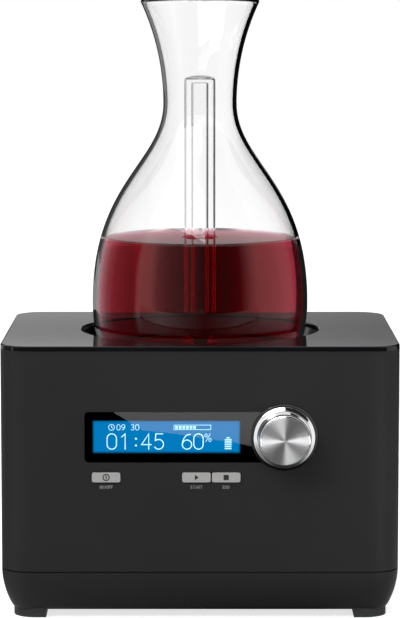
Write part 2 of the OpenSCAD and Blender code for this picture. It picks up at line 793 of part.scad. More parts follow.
module feet() {
    color([0.08, 0.08, 0.08]) at_axis() {
        difference() {
            linear_extrude(foot_h + tub_fillet) intersection() {
                rounded(body_w - 2 * foot_in, body_d - 2 * foot_in, foot_r);
                for (s = corner_pts)
                    translate([s[0] * (body_w / 2 - foot_in), s[1] * (body_d / 2 - foot_in)])
                        square(2 * foot_w, center = true);
            }
            tub_solid(snug / 2);
        }
        corner_post(foot_h - 0.5, foot_h + plug_h, sink_r - fit);
    }
}

module top_plate() {
    x0 = corner_r;
    bevel = 0.6;
    color([0.04, 0.04, 0.05]) at_axis() difference() {
        union() {
            carried(body_w, body_d, corner_r) polygon(concat([[0, plate_z], [x0, plate_z]],
                arc([x0 - edge_r, body_h - edge_r], edge_r, 0, 90, 6), [[0, body_h]]));
            translate([corner_r - body_w / 2, corner_r - body_d / 2, plate_z])
                cube([body_w - 2 * corner_r, body_d - 2 * corner_r, plate_t]);
            carried(body_w, body_d, corner_r) translate([x0 - wall - fit - lip_t, plate_z - plate_lip])
                square([lip_t, plate_lip + plate_t / 2]);
            corner_post(plate_z - plate_boss_h, plate_z + 1, boss_r);
            for (p = well_pts) translate([p[0], p[1], flange_z]) cylinder(r = well_boss_r, h = well_t + 1);
        }
        translate([0, 0, plate_z - 1]) cylinder(r = well_r, h = plate_t + 2);
        translate([0, 0, body_h]) rotate_extrude() polygon([[well_r - 1, -bevel], [well_r, -bevel],
            [well_r + 0.3 * bevel, -0.3 * bevel], [well_r + bevel, 0], [well_r + bevel, 1],
            [well_r - 1, 1]]);
        corner_post(plate_z - plate_boss_h - 1, plate_z - 0.8, pilot_r);
        for (p = well_pts) translate([p[0], p[1], flange_z - 1]) cylinder(r = pilot_r, h = well_t + 2.5);
    }
}

module decanter_well() {
    round_c = [floor_r - well_fillet, well_z + well_fillet];
    seat_low = well_z - seat_t / 2;
    seat_half = seat_w / 2 + fit;
    color([0.05, 0.05, 0.06]) at_axis() difference() {
        intersection() {
            rotate_extrude() polygon(concat([[nozzle_body_r + fit, well_z - well_t]],
                arc(round_c, well_fillet + well_t, -90, -10, 6),
                [[well_r + well_t, flange_z], [well_r + flange_w, flange_z],
                [well_r + flange_w, plate_z], [well_r, plate_z]],
                reversed(arc(round_c, well_fillet, -90, -10, 6)),
                [[seat_r + seat_half, well_z], [seat_r + seat_half, seat_low],
                [seat_r - seat_half, seat_low], [seat_r - seat_half, well_z],
                [nozzle_body_r + fit, well_z]]));
            linear_extrude(body_h)
                rounded(body_w - 2 * plate_in, body_d - 2 * plate_in, corner_r - plate_in);
        }
        for (p = well_pts) translate([p[0], p[1], flange_z - 1])
            cylinder(r = well_boss_r + fit, h = well_t + 2);
    }
}

module housing_screws() {
    color([0.5, 0.5, 0.52]) at_axis() {
        for (s = corner_pts) translate([s[0] * (body_w / 2 - screw_in), s[1] * (body_d / 2 - screw_in), 0]) {
            translate([0, 0, foot_h + sink_h])
                screw(head_r, head_h, screw_r, shoulder_z + base_bite - foot_h - sink_h);
            translate([0, 0, plate_z - plate_boss_h - ledge_t])
                screw(head_r, head_h, screw_r, ledge_t + plate_boss_h - 2);
        }
        for (p = well_pts) translate([p[0], p[1], flange_z]) screw(well_head_r, head_h, screw_r, well_t + 1);
    }
}

module seat_ring() {
    color([0.2, 0.2, 0.2]) at_axis() translate([0, 0, well_z - seat_t / 2])
        ring(seat_r + seat_w / 2, seat_r - seat_w / 2, seat_t);
}

// Air path

module air_nozzle() {
    b = nozzle_bore;
    rim = nozzle_body_r + nozzle_rim;
    top = nozzle_rim_t + spigot_h;
    color([0.7, 0.7, 0.72]) at_axis() translate([0, 0, well_z]) rotate_extrude() polygon([
        [b, barb_low - well_z], [nipple_r, barb_low - well_z], [nipple_r, barb_top - well_z],
        [nozzle_body_r, barb_top - well_z], [nozzle_body_r, 0], [rim, 0], [rim, nozzle_rim_t - soft],
        [rim - soft, nozzle_rim_t], [nozzle_r, nozzle_rim_t], [nozzle_r, top - soft],
        [nozzle_r - soft, top], [b, top]]);
}

module nozzle_seal() {
    in_r = nozzle_r + snug;
    lip_r = pipe_bore - seal_gap;
    h = spigot_h - 1;
    color([0.75, 0.75, 0.73]) at_axis() translate([0, 0, seal_low]) rotate_extrude() polygon([
        [in_r, 0], [nozzle_r + seal_rim, 0], [nozzle_r + seal_rim, seal_rim_t],
        [lip_r + soft, seal_rim_t + 2 * soft], [lip_r, h - 1], [nozzle_r + soft, h], [in_r, h]]);
}

module nozzle_nut() {
    color([0.65, 0.65, 0.67]) at_axis() translate([0, 0, well_z - well_t - nut_h]) difference() {
        cylinder(r = nozzle_body_r + nut_w, h = nut_h, $fn = 6);
        translate([0, 0, -1]) cylinder(r = nozzle_body_r + snug, h = nut_h + 2);
    }
}

module supply_hose() {
    z0 = valve_low + valve_len + 1;
    color([0.6, 0.6, 0.58]) at_axis() translate([0, 0, z0]) ring(hose_out, hose_in, barb_top - 1 - z0);
}

module check_valve() {
    all_len = valve_len + 2 * nipple_len;
    color([0.85, 0.85, 0.82]) at_axis() translate([0, 0, valve_low]) difference() {
        union() {
            translate([0, 0, -nipple_len]) cylinder(r = nipple_r, h = all_len);
            cylinder(r = valve_r, h = valve_len);
            translate([0, 0, valve_len / 2 - 1]) cylinder(r = valve_r + valve_rim, h = 2);
        }
        translate([0, 0, -nipple_len - 1]) cylinder(r = port_r, h = all_len + 2);
        translate([0, 0, valve_wall]) cylinder(r = valve_r - valve_wall, h = valve_len - 2 * valve_wall);
    }
}

module outlet_hose() {
    x1 = pump_x + nipple_x + 1;
    z1 = core_z + hose_bend;
    color([0.6, 0.6, 0.58]) at_axis() {
        translate([x1, 0, core_z]) rotate([0, 90, 0]) ring(hose_out, hose_in, -hose_bend - x1);
        translate([-hose_bend, 0, z1]) rotate([90, 0, 0]) rotate(-90) bend(hose_bend, hose_out, hose_in);
        translate([0, 0, z1]) ring(hose_out, hose_in, valve_low - 1 - z1);
    }
}

module intake_hose() {
    x1 = pump_x + nipple_x + 1;
    y1 = pump_y + ports[0];
    y2 = filter_y - filter_r - 1;
    color([0.6, 0.6, 0.58]) at_axis() {
        translate([x1, y1, core_z]) rotate([0, 90, 0])
            ring(hose_out, hose_in, filter_x - hose_bend - x1);
        translate([filter_x - hose_bend, y1 + hose_bend, core_z]) rotate(-90)
            bend(hose_bend, hose_out, hose_in);
        translate([filter_x, y2, core_z]) rotate([90, 0, 0])
            ring(hose_out, hose_in, y2 - y1 - hose_bend);
    }
}

module filter_canister() {
    color([0.3, 0.32, 0.34]) at_axis() translate([filter_x, filter_y, 0]) difference() {
        union() {
            translate([0, 0, floor_z]) cylinder(r = filter_r, h = filter_h);
            translate([0, 0, core_z]) rotate([90, 0, 0]) cylinder(r = nipple_r, h = filter_r + nipple_len);
        }
        translate([0, 0, floor_z + filter_wall]) cylinder(r = filter_r - filter_wall, h = filter_h);
        translate([0, 0, core_z]) rotate([90, 0, 0]) cylinder(r = port_r, h = filter_r + nipple_len + 1);
    }
}

module filter_cap() {
    plug_out = filter_r - filter_wall - fit;
    color([0.2, 0.22, 0.24]) at_axis() translate([filter_x, filter_y, floor_z + filter_h]) difference() {
        union() {
            cylinder(r = filter_r + 1, h = cap_t);
            translate([0, 0, -plug_len]) ring(plug_out, plug_out - filter_wall, plug_len + 1);
        }
        for (a = [0:60:300]) rotate(a) translate([filter_r / 2, 0, -1])
            cylinder(r = cap_hole, h = cap_t + 2);
        translate([0, 0, -1]) cylinder(r = cap_hole, h = cap_t + 2);
    }
}

module filter_cartridge() {
    r = filter_r - filter_wall - 0.5;
    color([0.85, 0.85, 0.8]) at_axis() translate([filter_x, filter_y, floor_z + filter_wall])
        ring(r, r - foam_t, filter_h - filter_wall - plug_len - 4);
}

// Display and buttons

module display_lens() {
    color([0.1, 0.1, 0.12, 0.5]) at_axis() facing(lens_front, lens_t) lens_shape(0);
}

module display_mask() {
    color([0.01, 0.01, 0.01]) at_axis() facing(lens_front + lens_t, mask_t) difference() {
        lens_shape(0);
        translate([lcd_x, panel_z]) square([lcd_w, lcd_h], center = true);
    }
}

module lcd_panel() {
    color([0.05, 0.45, 0.7]) at_axis() facing(inner_y + fit, lcd_t) translate([lcd_x, panel_z])
        square([lcd_w + 2 * lcd_rim, lcd_h + 2 * lcd_rim], center = true);
}

module lcd_backlight() {
    color([0.85, 0.88, 0.9]) at_axis() facing(inner_y + fit + lcd_t, board_gap - lcd_t - fit)
        translate([lcd_x, panel_z]) square([lcd_w + 3 * lcd_rim, lcd_h + 3 * lcd_rim], center = true);
}

module display_board() {
    color([0.05, 0.3, 0.15]) at_axis() difference() {
        facing(board_y, board_t) translate([0, board_z]) rounded(board_w, board_h, lcd_rim);
        for (p = board_pts) translate([p[0], board_y + board_t + 1, p[1]]) rotate([90, 0, 0])
            cylinder(r = small_hole, h = board_t + 2);
    }
}

module button(x) {
    color([0.62, 0.62, 0.63]) at_axis() translate([x, 0, button_z]) {
        facing(front_y - button_out, button_out + wall + fit) rounded(button_w, button_h, button_r);
        facing(inner_y + fit, lip_d) square([button_w, button_h + 2 * button_lip], center = true);
        translate([0, stem_y, 0]) rotate([90, 0, 0])
            cylinder(r = stem_r, h = stem_y - inner_y - fit - lip_d / 2);
    }
}

module plunger(x) {
    color([0.1, 0.1, 0.1]) at_axis() translate([x, stem_y + plunger_len, button_z]) rotate([90, 0, 0])
        cylinder(r = plunger_r, h = plunger_len);
}

module power_button() {
    button(power_x);
}

module play_button() {
    button(play_x);
}

module stop_button() {
    button(stop_x);
}

module power_plunger() {
    plunger(power_x);
}

module play_plunger() {
    plunger(play_x);
}

module stop_plunger() {
    plunger(stop_x);
}

module switch_bodies() {
    color([0.12, 0.12, 0.12]) at_axis() for (x = button_xs) translate([x, 0, button_z]) difference() {
        facing(board_y - switch_h, switch_h) square(switch_s, center = true);
        translate([0, board_y - switch_h + plunger_len + fit, 0]) rotate([90, 0, 0])
            cylinder(r = plunger_r + 0.3, h = plunger_len + 1);
    }
}

// Knob and encoder

module shaft_shape(g) {
    difference() {
        circle(shaft_r + g);
        translate([shaft_r - shaft_flat + g, -shaft_r - 1]) square([shaft_r, 2 * shaft_r + 2]);
    }
}

module knob_skirt() {
    top = knob_out - soft;
    step = knob_out - face_t;
    flange_top = knob_back + knob_rim;
    color([0.75, 0.75, 0.77]) at_axis() on_knob() difference() {
        rotate_extrude() polygon(concat([[knob_bore, knob_back]],
            arc([knob_r - soft, knob_back + soft], soft, -90, 0, 4),
            arc([knob_r - 1.5 * soft, flange_top - 1.5 * soft], 1.5 * soft, 0, 90, 4),
            [[knob_r - 3 * soft, flange_top], [face_r + crown_w, top - crown_w],
            [face_r + 0.8 * crown_w, top - 0.4 * crown_w], [face_r + 0.35 * crown_w, top],
            [face_r + snug, top], [face_r + snug, step], [0, step], [0, hub_z], [knob_bore, hub_z]]));
        translate([0, 0, hub_z - 1]) linear_extrude(step - 1 - hub_z) shaft_shape(snug);
    }
}

module knob_face() {
    t = knob_out - face_t;
    color([0.8, 0.8, 0.82]) at_axis() on_knob() rotate_extrude() polygon([[0, t], [face_r, t],
        [face_r, knob_out - soft / 2], [face_r - soft / 2, knob_out], [0, knob_out]]);
}

module encoder_shaft() {
    color([0.6, 0.6, 0.62]) at_axis() on_knob() {
        translate([0, 0, -wall - shaft_in]) cylinder(r = shaft_r, h = wall + shaft_in + hub_z);
        translate([0, 0, hub_z - 1]) linear_extrude(knob_out - face_t - 1.4 - hub_z) shaft_shape(0);
    }
}

module encoder_body() {
    color([0.35, 0.4, 0.38]) at_axis() on_knob() difference() {
        union() {
            translate([-encoder_s / 2, -encoder_s / 2, -wall - board_gap])
                cube([encoder_s, encoder_s, board_gap]);
            translate([0, 0, -wall - 1]) cylinder(r = bush_r, h = wall + 1 + bush_out);
        }
        translate([0, 0, -wall - shaft_in - soft])
            cylinder(r = shaft_r + run, h = wall + shaft_in + 2 + bush_out);
    }
}

module encoder_nut() {
    color([0.7, 0.7, 0.72]) at_axis() on_knob() difference() {
        cylinder(r = bush_r + nut_w, h = nut_t, $fn = 6);
        translate([0, 0, -1]) cylinder(r = bush_r + snug, h = nut_t + 2);
    }
}

module knob_ring() {
    color([0.02, 0.02, 0.02]) at_axis() on_knob() rotate_extrude() polygon([[ring_in, 0], [ring_r, 0],
        [ring_r, ring_h - soft], [ring_r - soft, ring_h], [ring_in + soft / 2, ring_h],
        [ring_in, ring_h - soft / 2]]);
}

// Pump

module on_pump() {
    translate([pump_x, pump_y, 0]) children();
}

module pump_chassis() {
    deck = deck_hi - deck_lo;
    color([0.25, 0.27, 0.3]) at_axis() on_pump() difference() {
        union() {
            translate([deck_lo[0], deck_lo[1], deck_z - chassis_t]) cube([deck[0], deck[1], chassis_t]);
            translate([core_x, -core_w / 2, deck_z - 1]) cube([core_bar, core_w, core_low - deck_z + 1]);
            for (y = [-leg_y, leg_y]) translate([bar_x - 1, y - leg_w / 2, deck_z - 1])
                cube([core_len - 1, leg_w, core_low - deck_z + 1]);
            translate([pivot_p[0], pivot_p[1], deck_z - 1])
                cylinder(r = hub_r, h = core_z - arm_h / 2 - 0.5 - deck_z + 1);
            translate([stroke_l, chamber_y - chamber_w / 2, deck_z - 1])
                cube([chamber_t + cover_t, chamber_w, core_z - chamber_h / 2 - deck_z + 1]);
        }
        for (p = mount_pts) translate([p[0], p[1], deck_z - chassis_t - 1])
            cylinder(r = small_hole, h = chassis_t + 2);
        translate([pivot_p[0], pivot_p[1], deck_z]) cylinder(r = pivot_r + snug / 2, h = core_z);
    }
}

module pump_core() {
    color([0.4, 0.4, 0.42]) at_axis() on_pump() translate([0, 0, core_low]) {
        translate([core_x, -core_w / 2, 0]) cube([core_bar, core_w, core_h]);
        for (y = [-leg_y, leg_y]) translate([bar_x - 1, y - leg_w / 2, 0])
            cube([core_len + 1, leg_w, core_h]);
        translate([bar_x - 1, -leg_mid / 2, 0]) cube([core_len + 1, leg_mid, core_h]);
    }
}

module pump_coil() {
    color([0.72, 0.4, 0.2]) at_axis() on_pump() translate([bar_x + 1, 0, core_z]) rotate([90, 0, 90])
        linear_extrude(core_len - 3) difference() {
            rounded(coil_w, coil_h, coil_t / 2);
            square([leg_mid + 2 * fit, core_h + 2 * fit], center = true);
        }
}

module pump_arm() {
    color([0.55, 0.56, 0.6]) at_axis() on_pump() translate([0, 0, core_z - arm_h / 2]) difference() {
        union() {
            translate([-arm_t, pivot_p[1], 0]) cube([arm_t, arm_end - pivot_p[1], arm_h]);
            translate([pivot_p[0], pivot_p[1], 0]) cylinder(r = hub_r, h = arm_h);
        }
        translate([pivot_p[0], pivot_p[1], -1]) cylinder(r = pivot_r + run, h = arm_h + 2);
    }
}

module arm_magnets() {
    color([0.3, 0.3, 0.33]) at_axis() on_pump() for (y = [0, leg_y])
        translate([-arm_t - magnet_t, y - magnet_w / 2, core_z - magnet_h / 2])
            cube([magnet_t, magnet_w, magnet_h]);
}

module pivot_pin() {
    arm_top = core_z + arm_h / 2 - deck_z;
    color([0.7, 0.7, 0.72]) at_axis() on_pump() translate([pivot_p[0], pivot_p[1], deck_z]) {
        cylinder(r = pivot_r, h = arm_top + 1);
        translate([0, 0, arm_top + soft]) cylinder(r = pivot_r + 1.6, h = 1.4);
    }
}

module diaphragm() {
    skin = 2;
    color([0.1, 0.1, 0.1]) at_axis() on_pump() translate([0, chamber_y, core_z]) rotate([0, 90, 0])
        rotate_extrude() polygon([[0, arm_gap], [rim_r / 2, arm_gap], [0.6 * rim_r, arm_gap + 1],
            [0.85 * rim_r, stroke_l - 3], [rim_r, stroke_l - skin], [rim_r, stroke_l],
            [0.83 * rim_r, stroke_l], [0.74 * rim_r, stroke_l - 1.8], [rim_r / 2, arm_gap + skin],
            [0, arm_gap + skin]]);
}

module valve_chamber() {
    color([0.3, 0.32, 0.35]) at_axis() on_pump() difference() {
        translate([stroke_l, chamber_y - chamber_w / 2, core_z - chamber_h / 2])
            cube([chamber_t, chamber_w, chamber_h]);
        translate([stroke_l - 1, chamber_y, core_z]) rotate([0, 90, 0])
            cylinder(r = 0.8 * rim_r, h = chamber_t / 3);
        for (y = ports) translate([stroke_l - 1, y, core_z]) rotate([0, 90, 0])
            cylinder(r = port_r + soft, h = chamber_t + 2);
    }
}

module valve_cover() {
    color([0.35, 0.37, 0.4]) at_axis() on_pump() difference() {
        union() {
            translate([cover_x, chamber_y - chamber_w / 2, core_z - chamber_h / 2])
                cube([cover_t, chamber_w, chamber_h]);
            for (y = ports) translate([cover_x + 1, y, core_z]) rotate([0, 90, 0])
                cylinder(r = nipple_r, h = nipple_end - cover_x - 1);
        }
        for (y = ports) translate([cover_x - 1, y, core_z]) rotate([0, 90, 0])
            cylinder(r = port_r, h = nipple_end);
    }
}

module pump_mounts() {
    color([0.12, 0.12, 0.12]) at_axis() on_pump() for (p = mount_pts)
        translate([p[0], p[1], floor_z]) ring(mount_r, mount_bore, mount_h);
}

module pump_screws() {
    color([0.5, 0.5, 0.52]) at_axis() on_pump() for (p = mount_pts) translate([p[0], p[1], deck_z])
        rotate([180, 0, 0]) screw(head_r, head_h, small_r, chassis_t + mount_h - 2);
}

// Electrics

module control_board() {
    color([0.05, 0.3, 0.15]) at_axis() difference() {
        translate([ctrl_c[0], ctrl_c[1], ctrl_z]) linear_extrude(board_t) rounded(ctrl_w, ctrl_d, lcd_rim);
        for (p = ctrl_pts) translate([p[0], p[1], ctrl_z - 1]) cylinder(r = small_hole, h = board_t + 2);
    }
}

module board_parts() {
    plug_w = ribbon_w + 4;
    color([0.15, 0.15, 0.16]) at_axis() {
        for (p = [[jack_x, dc_y], [lead_x, lead_y]])
            translate([p[0] - conn_w / 2, p[1] - conn_w / 2, ctrl_top])
            cube([conn_w, conn_w, conn_h]);
        translate([ribbon_x - plug_w / 2, ribbon_y - 2.5, ctrl_top]) cube([plug_w, 5, conn_h]);
        translate([ribbon_x - plug_w / 2, board_y + board_t, ribbon_z - 2.5]) cube([plug_w, 5, 5]);
        translate([ctrl_c[0], ctrl_c[1], ctrl_top]) {
            translate([cap_r, 4, 0]) cylinder(r = cap_r, h = cap_h);
            translate([20, -4, 0]) cylinder(r = cap_r * 2 / 3, h = cap_h * 3 / 4);
            translate([-6 - trafo_w, -1, 0]) cube([trafo_w, trafo_d, conn_h * 1.5]);
            translate([-3, -11, 0]) cube([chip_w, chip_w * 2 / 3, 2]);
        }
    }
}

module board_screws() {
    color([0.5, 0.5, 0.52]) at_axis() {
        for (p = board_pts) translate([p[0], board_y + board_t, p[1]]) rotate([90, 0, 0])
            screw(small_head_r, small_head_h, small_r, board_t + board_gap - 1.5);
        for (p = ctrl_pts) translate([p[0], p[1], ctrl_top]) rotate([180, 0, 0])
            screw(small_head_r, small_head_h, small_r, board_t + ctrl_post - 1.5);
    }
}

module dc_inlet() {
    color([0.06, 0.06, 0.06]) at_axis() translate([jack_x, back_y, jack_z]) rotate([90, 0, 0]) difference() {
        union() {
            cylinder(r = jack_r + jack_rim, h = wall / 2);
            cylinder(r = jack_r, h = jack_len);
        }
        translate([0, 0, -1]) ring(plug_r, pin_r, plug_d + 1);
    }
}

module dc_nut() {
    color([0.6, 0.6, 0.62]) at_axis() translate([jack_x, back_y - wall, jack_z]) rotate([90, 0, 0])
        difference() {
            cylinder(r = jack_r + nut_w, h = nut_t, $fn = 6);
            translate([0, 0, -1]) cylinder(r = jack_r + snug, h = nut_t + 2);
        }
}

module dc_lead() {
    y1 = back_y - jack_len;
    z1 = ctrl_top + conn_h;
    br = lead_bend;
    color([0.08, 0.08, 0.08]) at_axis() {
        translate([jack_x, y1, jack_z]) rotate([90, 0, 0]) cylinder(r = dc_r, h = y1 - dc_y - br);
        translate([jack_x, dc_y + br, jack_z - br]) rotate([90, 0, 90]) rotate(90) bend(br, dc_r, 0);
        translate([jack_x, dc_y, z1]) cylinder(r = dc_r, h = jack_z - br - z1);
    }
}

module pump_lead() {
    x1 = pump_x + (bar_x + leg_x) / 2;
    y1 = pump_y - coil_w / 2;
    z1 = ctrl_top + conn_h;
    br = lead_bend;
    color([0.5, 0.08, 0.06]) at_axis() {
        translate([x1, y1, lead_z]) rotate([90, 0, 0]) cylinder(r = lead_r, h = y1 - lead_y - br);
        translate([x1 + br, lead_y + br, lead_z]) rotate(180) bend(br, lead_r, 0);
        translate([x1 + br, lead_y, lead_z]) rotate([0, 90, 0])
            cylinder(r = lead_r, h = lead_x - br - x1 - br);
        translate([lead_x - br, lead_y, lead_z - br]) rotate([90, 0, 0]) bend(br, lead_r, 0);
        translate([lead_x, lead_y, z1]) cylinder(r = lead_r, h = lead_z - br - z1);
    }
}

module display_ribbon() {
    br = ribbon_bend;
    y0 = board_y + board_t + ribbon_plug;
    z1 = ctrl_top + conn_h;
    color([0.6, 0.6, 0.62]) at_axis() translate([ribbon_x - ribbon_w / 2, 0, 0]) rotate([90, 0, 90])
        linear_extrude(ribbon_w) {
            translate([y0, ribbon_z - ribbon_t / 2]) square([ribbon_y - br - y0, ribbon_t]);
            translate([ribbon_y - br, ribbon_z - br]) intersection() {
                difference() {
                    circle(br + ribbon_t / 2);
                    circle(br - ribbon_t / 2);
                }
                square(2 * br);
            }
            translate([ribbon_y - ribbon_t / 2, z1]) square([ribbon_t, ribbon_z - br - z1]);
        }
}

// Glass

// half section of the whole decanter
module glass_section() {
    foot_top = glass_floor + pipe_foot_h;
    polygon(concat(dec_corner(), tail(dec_wall()), dec_rim(), reversed(inset(tail(dec_wall()), glass_t)),
        reversed(inset(dec_corner(), glass_t)), reversed(inset(dec_punt(), glass_t)),
        [[pipe_foot, glass_floor], [pipe_foot, foot_top], [pipe_r, foot_top + pipe_taper],
        [pipe_r, pipe_h - soft], [pipe_r - soft, pipe_h], [pipe_bore + soft, pipe_h],
        [pipe_bore, pipe_h - soft], [pipe_bore, socket_h], [socket_r - soft, punt_h + 1],
        [socket_r, punt_h]],
        dec_punt()));
}

// the part of the glass between two radii and two heights
module glass(r0, r1, z0, z1) {
    color([0.85, 0.9, 0.9, 0.35]) at_axis() translate([0, 0, dec_z]) rotate_extrude($fn = 96)
        intersection() {
            glass_section();
            translate([r0, z0]) square([r1 - r0, z1 - z0]);
        }
}

module decanter_bottom() {
    glass(0, 2 * belly_r, 0, glass_floor);
}

module decanter_bowl() {
    glass(tube_r, 2 * belly_r, glass_floor, bowl_top);
}

module decanter_shoulder() {
    glass(tube_r, 2 * belly_r, bowl_top, shoulder_top);
}

module decanter_neck() {
    glass(tube_r, 2 * belly_r, shoulder_top, dec_h + 1);
}

module standpipe() {
    glass(0, tube_r, glass_floor, pipe_h + 1);
}

module bubbler_tube() {
    low = glass_floor + seat_gap;
    in_r = tube_r - tube_t;
    round_c = [tube_r - tube_round, tube_top - tube_round];
    color([0.85, 0.9, 0.9, 0.35]) at_axis() translate([0, 0, dec_z]) difference() {
        rotate_extrude() polygon(concat([[in_r, low], [tube_r, low]],
            arc(round_c, tube_round, 0, 80, 8), [[0, tube_top], [0, tube_top - tube_t]],
            reversed(arc(round_c, tube_round - tube_t, 0, 80, 6))));
        for (a = [0:60:300]) rotate(a) translate([in_r - 1, -notch_w / 2, low - 1])
            cube([tube_t + 2, notch_w, notch_h + 1]);
    }
}

main_shell();
base_tub();
top_plate();
decanter_well();
seat_ring();
feet();
housing_screws();
display_lens();
display_mask();
lcd_panel();
lcd_backlight();
display_board();
power_button();
play_button();
stop_button();
power_plunger();
play_plunger();
stop_plunger();
switch_bodies();
knob_skirt();
knob_face();
encoder_shaft();
encoder_body();
encoder_nut();
knob_ring();
air_nozzle();
nozzle_seal();
nozzle_nut();
supply_hose();
check_valve();
outlet_hose();
intake_hose();
filter_canister();
filter_cap();
filter_cartridge();
pump_chassis();
pump_core();
pump_coil();
pump_arm();
arm_magnets();
pivot_pin();
diaphragm();
valve_chamber();
valve_cover();
pump_mounts();
pump_screws();
control_board();
board_parts();
board_screws();
dc_inlet();
dc_nut();
dc_lead();
pump_lead();
display_ribbon();
decanter_bottom();
decanter_bowl();
decanter_shoulder();
decanter_neck();
standpipe();
bubbler_tube();
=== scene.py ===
from math import asin, cos, degrees, pi, radians, sin

import bmesh
import bpy
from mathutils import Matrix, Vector


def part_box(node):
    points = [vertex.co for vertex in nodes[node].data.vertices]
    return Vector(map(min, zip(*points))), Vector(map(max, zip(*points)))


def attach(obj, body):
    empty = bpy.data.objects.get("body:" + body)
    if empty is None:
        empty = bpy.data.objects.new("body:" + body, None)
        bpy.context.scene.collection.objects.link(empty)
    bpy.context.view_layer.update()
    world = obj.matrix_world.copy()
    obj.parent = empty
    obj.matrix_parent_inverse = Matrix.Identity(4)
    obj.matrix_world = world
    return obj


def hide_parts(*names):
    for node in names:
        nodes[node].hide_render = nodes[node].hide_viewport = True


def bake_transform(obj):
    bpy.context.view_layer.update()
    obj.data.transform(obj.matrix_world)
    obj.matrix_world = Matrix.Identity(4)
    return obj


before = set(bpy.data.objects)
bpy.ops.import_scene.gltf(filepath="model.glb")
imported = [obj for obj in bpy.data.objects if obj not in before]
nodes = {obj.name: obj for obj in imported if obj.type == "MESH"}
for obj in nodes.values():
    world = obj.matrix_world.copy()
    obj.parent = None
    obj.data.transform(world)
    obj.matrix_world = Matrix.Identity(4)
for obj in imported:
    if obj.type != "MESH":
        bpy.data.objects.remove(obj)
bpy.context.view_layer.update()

MM = 0.001
TINY = 1e-6

# Sizes in millimetres, as in the CAD source. FULL and RISE are shares that set how full a curve is.

AXIS_Y = 8.0
GLASS_Z = 155.7
BELLY_R, BELLY_H, BELLY_FULL = 68.75, 31.5, 0.607
NECK_R, NECK_H, NECK_FULL = 23.3, 158.0, 0.296
GLASS_H, GLASS_T = 223.0, 2.6
FLARE_R = 150.0
BASE_R, BASE_FULL, BASE_RISE = 52.0, 0.82, 0.33
STAND_W, PUNT_H, GLASS_FLOOR = 8.0, 4.0, 6.6
PIPE_R, PIPE_BORE, PIPE_H = 5.5, 4.2, 171.0
PIPE_FOOT, PIPE_MOUTH = 8.0, 5.0
TUBE_R, TUBE_T, TUBE_TOP, TUBE_LOW = 10.0, 1.4, 174.5, 6.8
TUBE_ROUND = 2.4

FRONT_Y = -85.0
LCD_FRONT = -82.25
LCD_X, LCD_Z, LCD_W, LCD_H = -20.5, 113.7, 90.5, 20.4
BUTTON_FRONT = -85.9
BUTTON_Z = 89.0
POWER_X, PLAY_X, STOP_X = -57.4, -2.2, 16.0
KNOB_X, KNOB_Z, KNOB_OUT = 51.5, 113.7, 16.0
KNOB_R, FACE_R = 18.9, 14.4

# Finer shapes that only this script has

PIPE_CONE = [(PIPE_FOOT, 6.0), (PIPE_R + 0.5, 13.0), (PIPE_R, 16.0)]  # radius, height over the floor
PIPE_BORE_LOW = 16.0
CROWN_H, CROWN_SINK = 1.6, 0.4
CROWN_RADII = (6.4, 4.8, 3.2, 1.6, 0.0)
WINE_LEVEL, WINE_GAP = 72.6, 0.15
WALL_MENISCUS = [(0.1, 0.7), (0.5, 0.35), (1.4, 0.08), (3.0, 0.0)]  # from the wall, over the level
TUBE_MENISCUS = [(2.6, 0.0), (1.2, 0.1), (0.4, 0.4), (0.0, 0.8)]  # from the tube, over the level
KNOB_FLANGE = [(0.0, 1.3), (0.05, 1.5), (0.2, 1.65), (0.5, 1.85), (2.0, 2.85), (2.3, 3.05),
               (2.45, 3.25), (2.5, 3.6)]  # inside KNOB_R, out from the front
KNOB_BROW = [(1.6, 1.9), (1.5, 1.5), (1.36, 0.95), (1.1, 0.5), (0.75, 0.14), (0.4, 0.0), (0.15, 0.0),
             (0.04, 0.1)]  # outside FACE_R, below the top
STEM_ROOM = 0.15
LCD_LIFT, MARK_LIFT, LABEL_LIFT = 0.06, 0.04, 0.03  # strokes in front of their surface


# Meshes

def add_mesh(name, bm, body, material, smooth=True):
    """A finished bmesh, in metres, as a piece that rides on a body, if one is named."""
    bmesh.ops.recalc_face_normals(bm, faces=bm.faces)
    mesh = bpy.data.meshes.new(name)
    bm.to_mesh(mesh)
    bm.free()
    for face in mesh.polygons:
        face.use_smooth = smooth
    piece = bpy.data.objects.new(name, mesh)
    bpy.context.scene.collection.objects.link(piece)
    mesh.materials.append(material)
    if body:
        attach(piece, body)
    return piece


def firm(profile, closed, long=8.0, hold=0.4):
    """The profile with a point close to both ends of each long line, so that smooth shading leaves
    the line straight."""
    points = []
    ends = profile[1:] + (profile[:1] if closed else [])
    for a, b in zip(profile, ends):
        points.append(a)
        run = Vector(b) - Vector(a)
        if run.length > long:
            near = run.normalized() * hold
            points += [tuple(Vector(a) + near), tuple(Vector(b) - near)]
    return points if closed else points + profile[-1:]


def lathe(profile, place, segments, closed=False):
    """A bmesh of a profile of (radius, height) in mm, turned round an axis.
    place(radius, angle, height) gives the point in mm."""
    bm = bmesh.new()
    turns = [2 * pi * k / segments for k in range(segments)]
    rings = []
    for r, h in firm(profile, closed):
        around = [0.0] if r < TINY else turns
        rings.append([bm.verts.new(Vector(place(r, a, h)) * MM) for a in around])
    pairs = list(zip(rings, rings[1:]))
    if closed:
        pairs.append((rings[-1], rings[0]))
    for low, high in pairs:
        for k in range(segments):
            n = (k + 1) % segments
            corners = [low[k % len(low)], low[n % len(low)], high[n % len(high)], high[k % len(high)]]
            corners = list(dict.fromkeys(corners))
            if len(corners) > 2:
                bm.faces.new(corners)
    return bm


def on_glass_axis(r, a, h):
    return (r * cos(a), AXIS_Y + r * sin(a), GLASS_Z + h)


def on_knob_axis(r, a, h):
    return (KNOB_X + r * cos(a), FRONT_Y - h, KNOB_Z + r * sin(a))


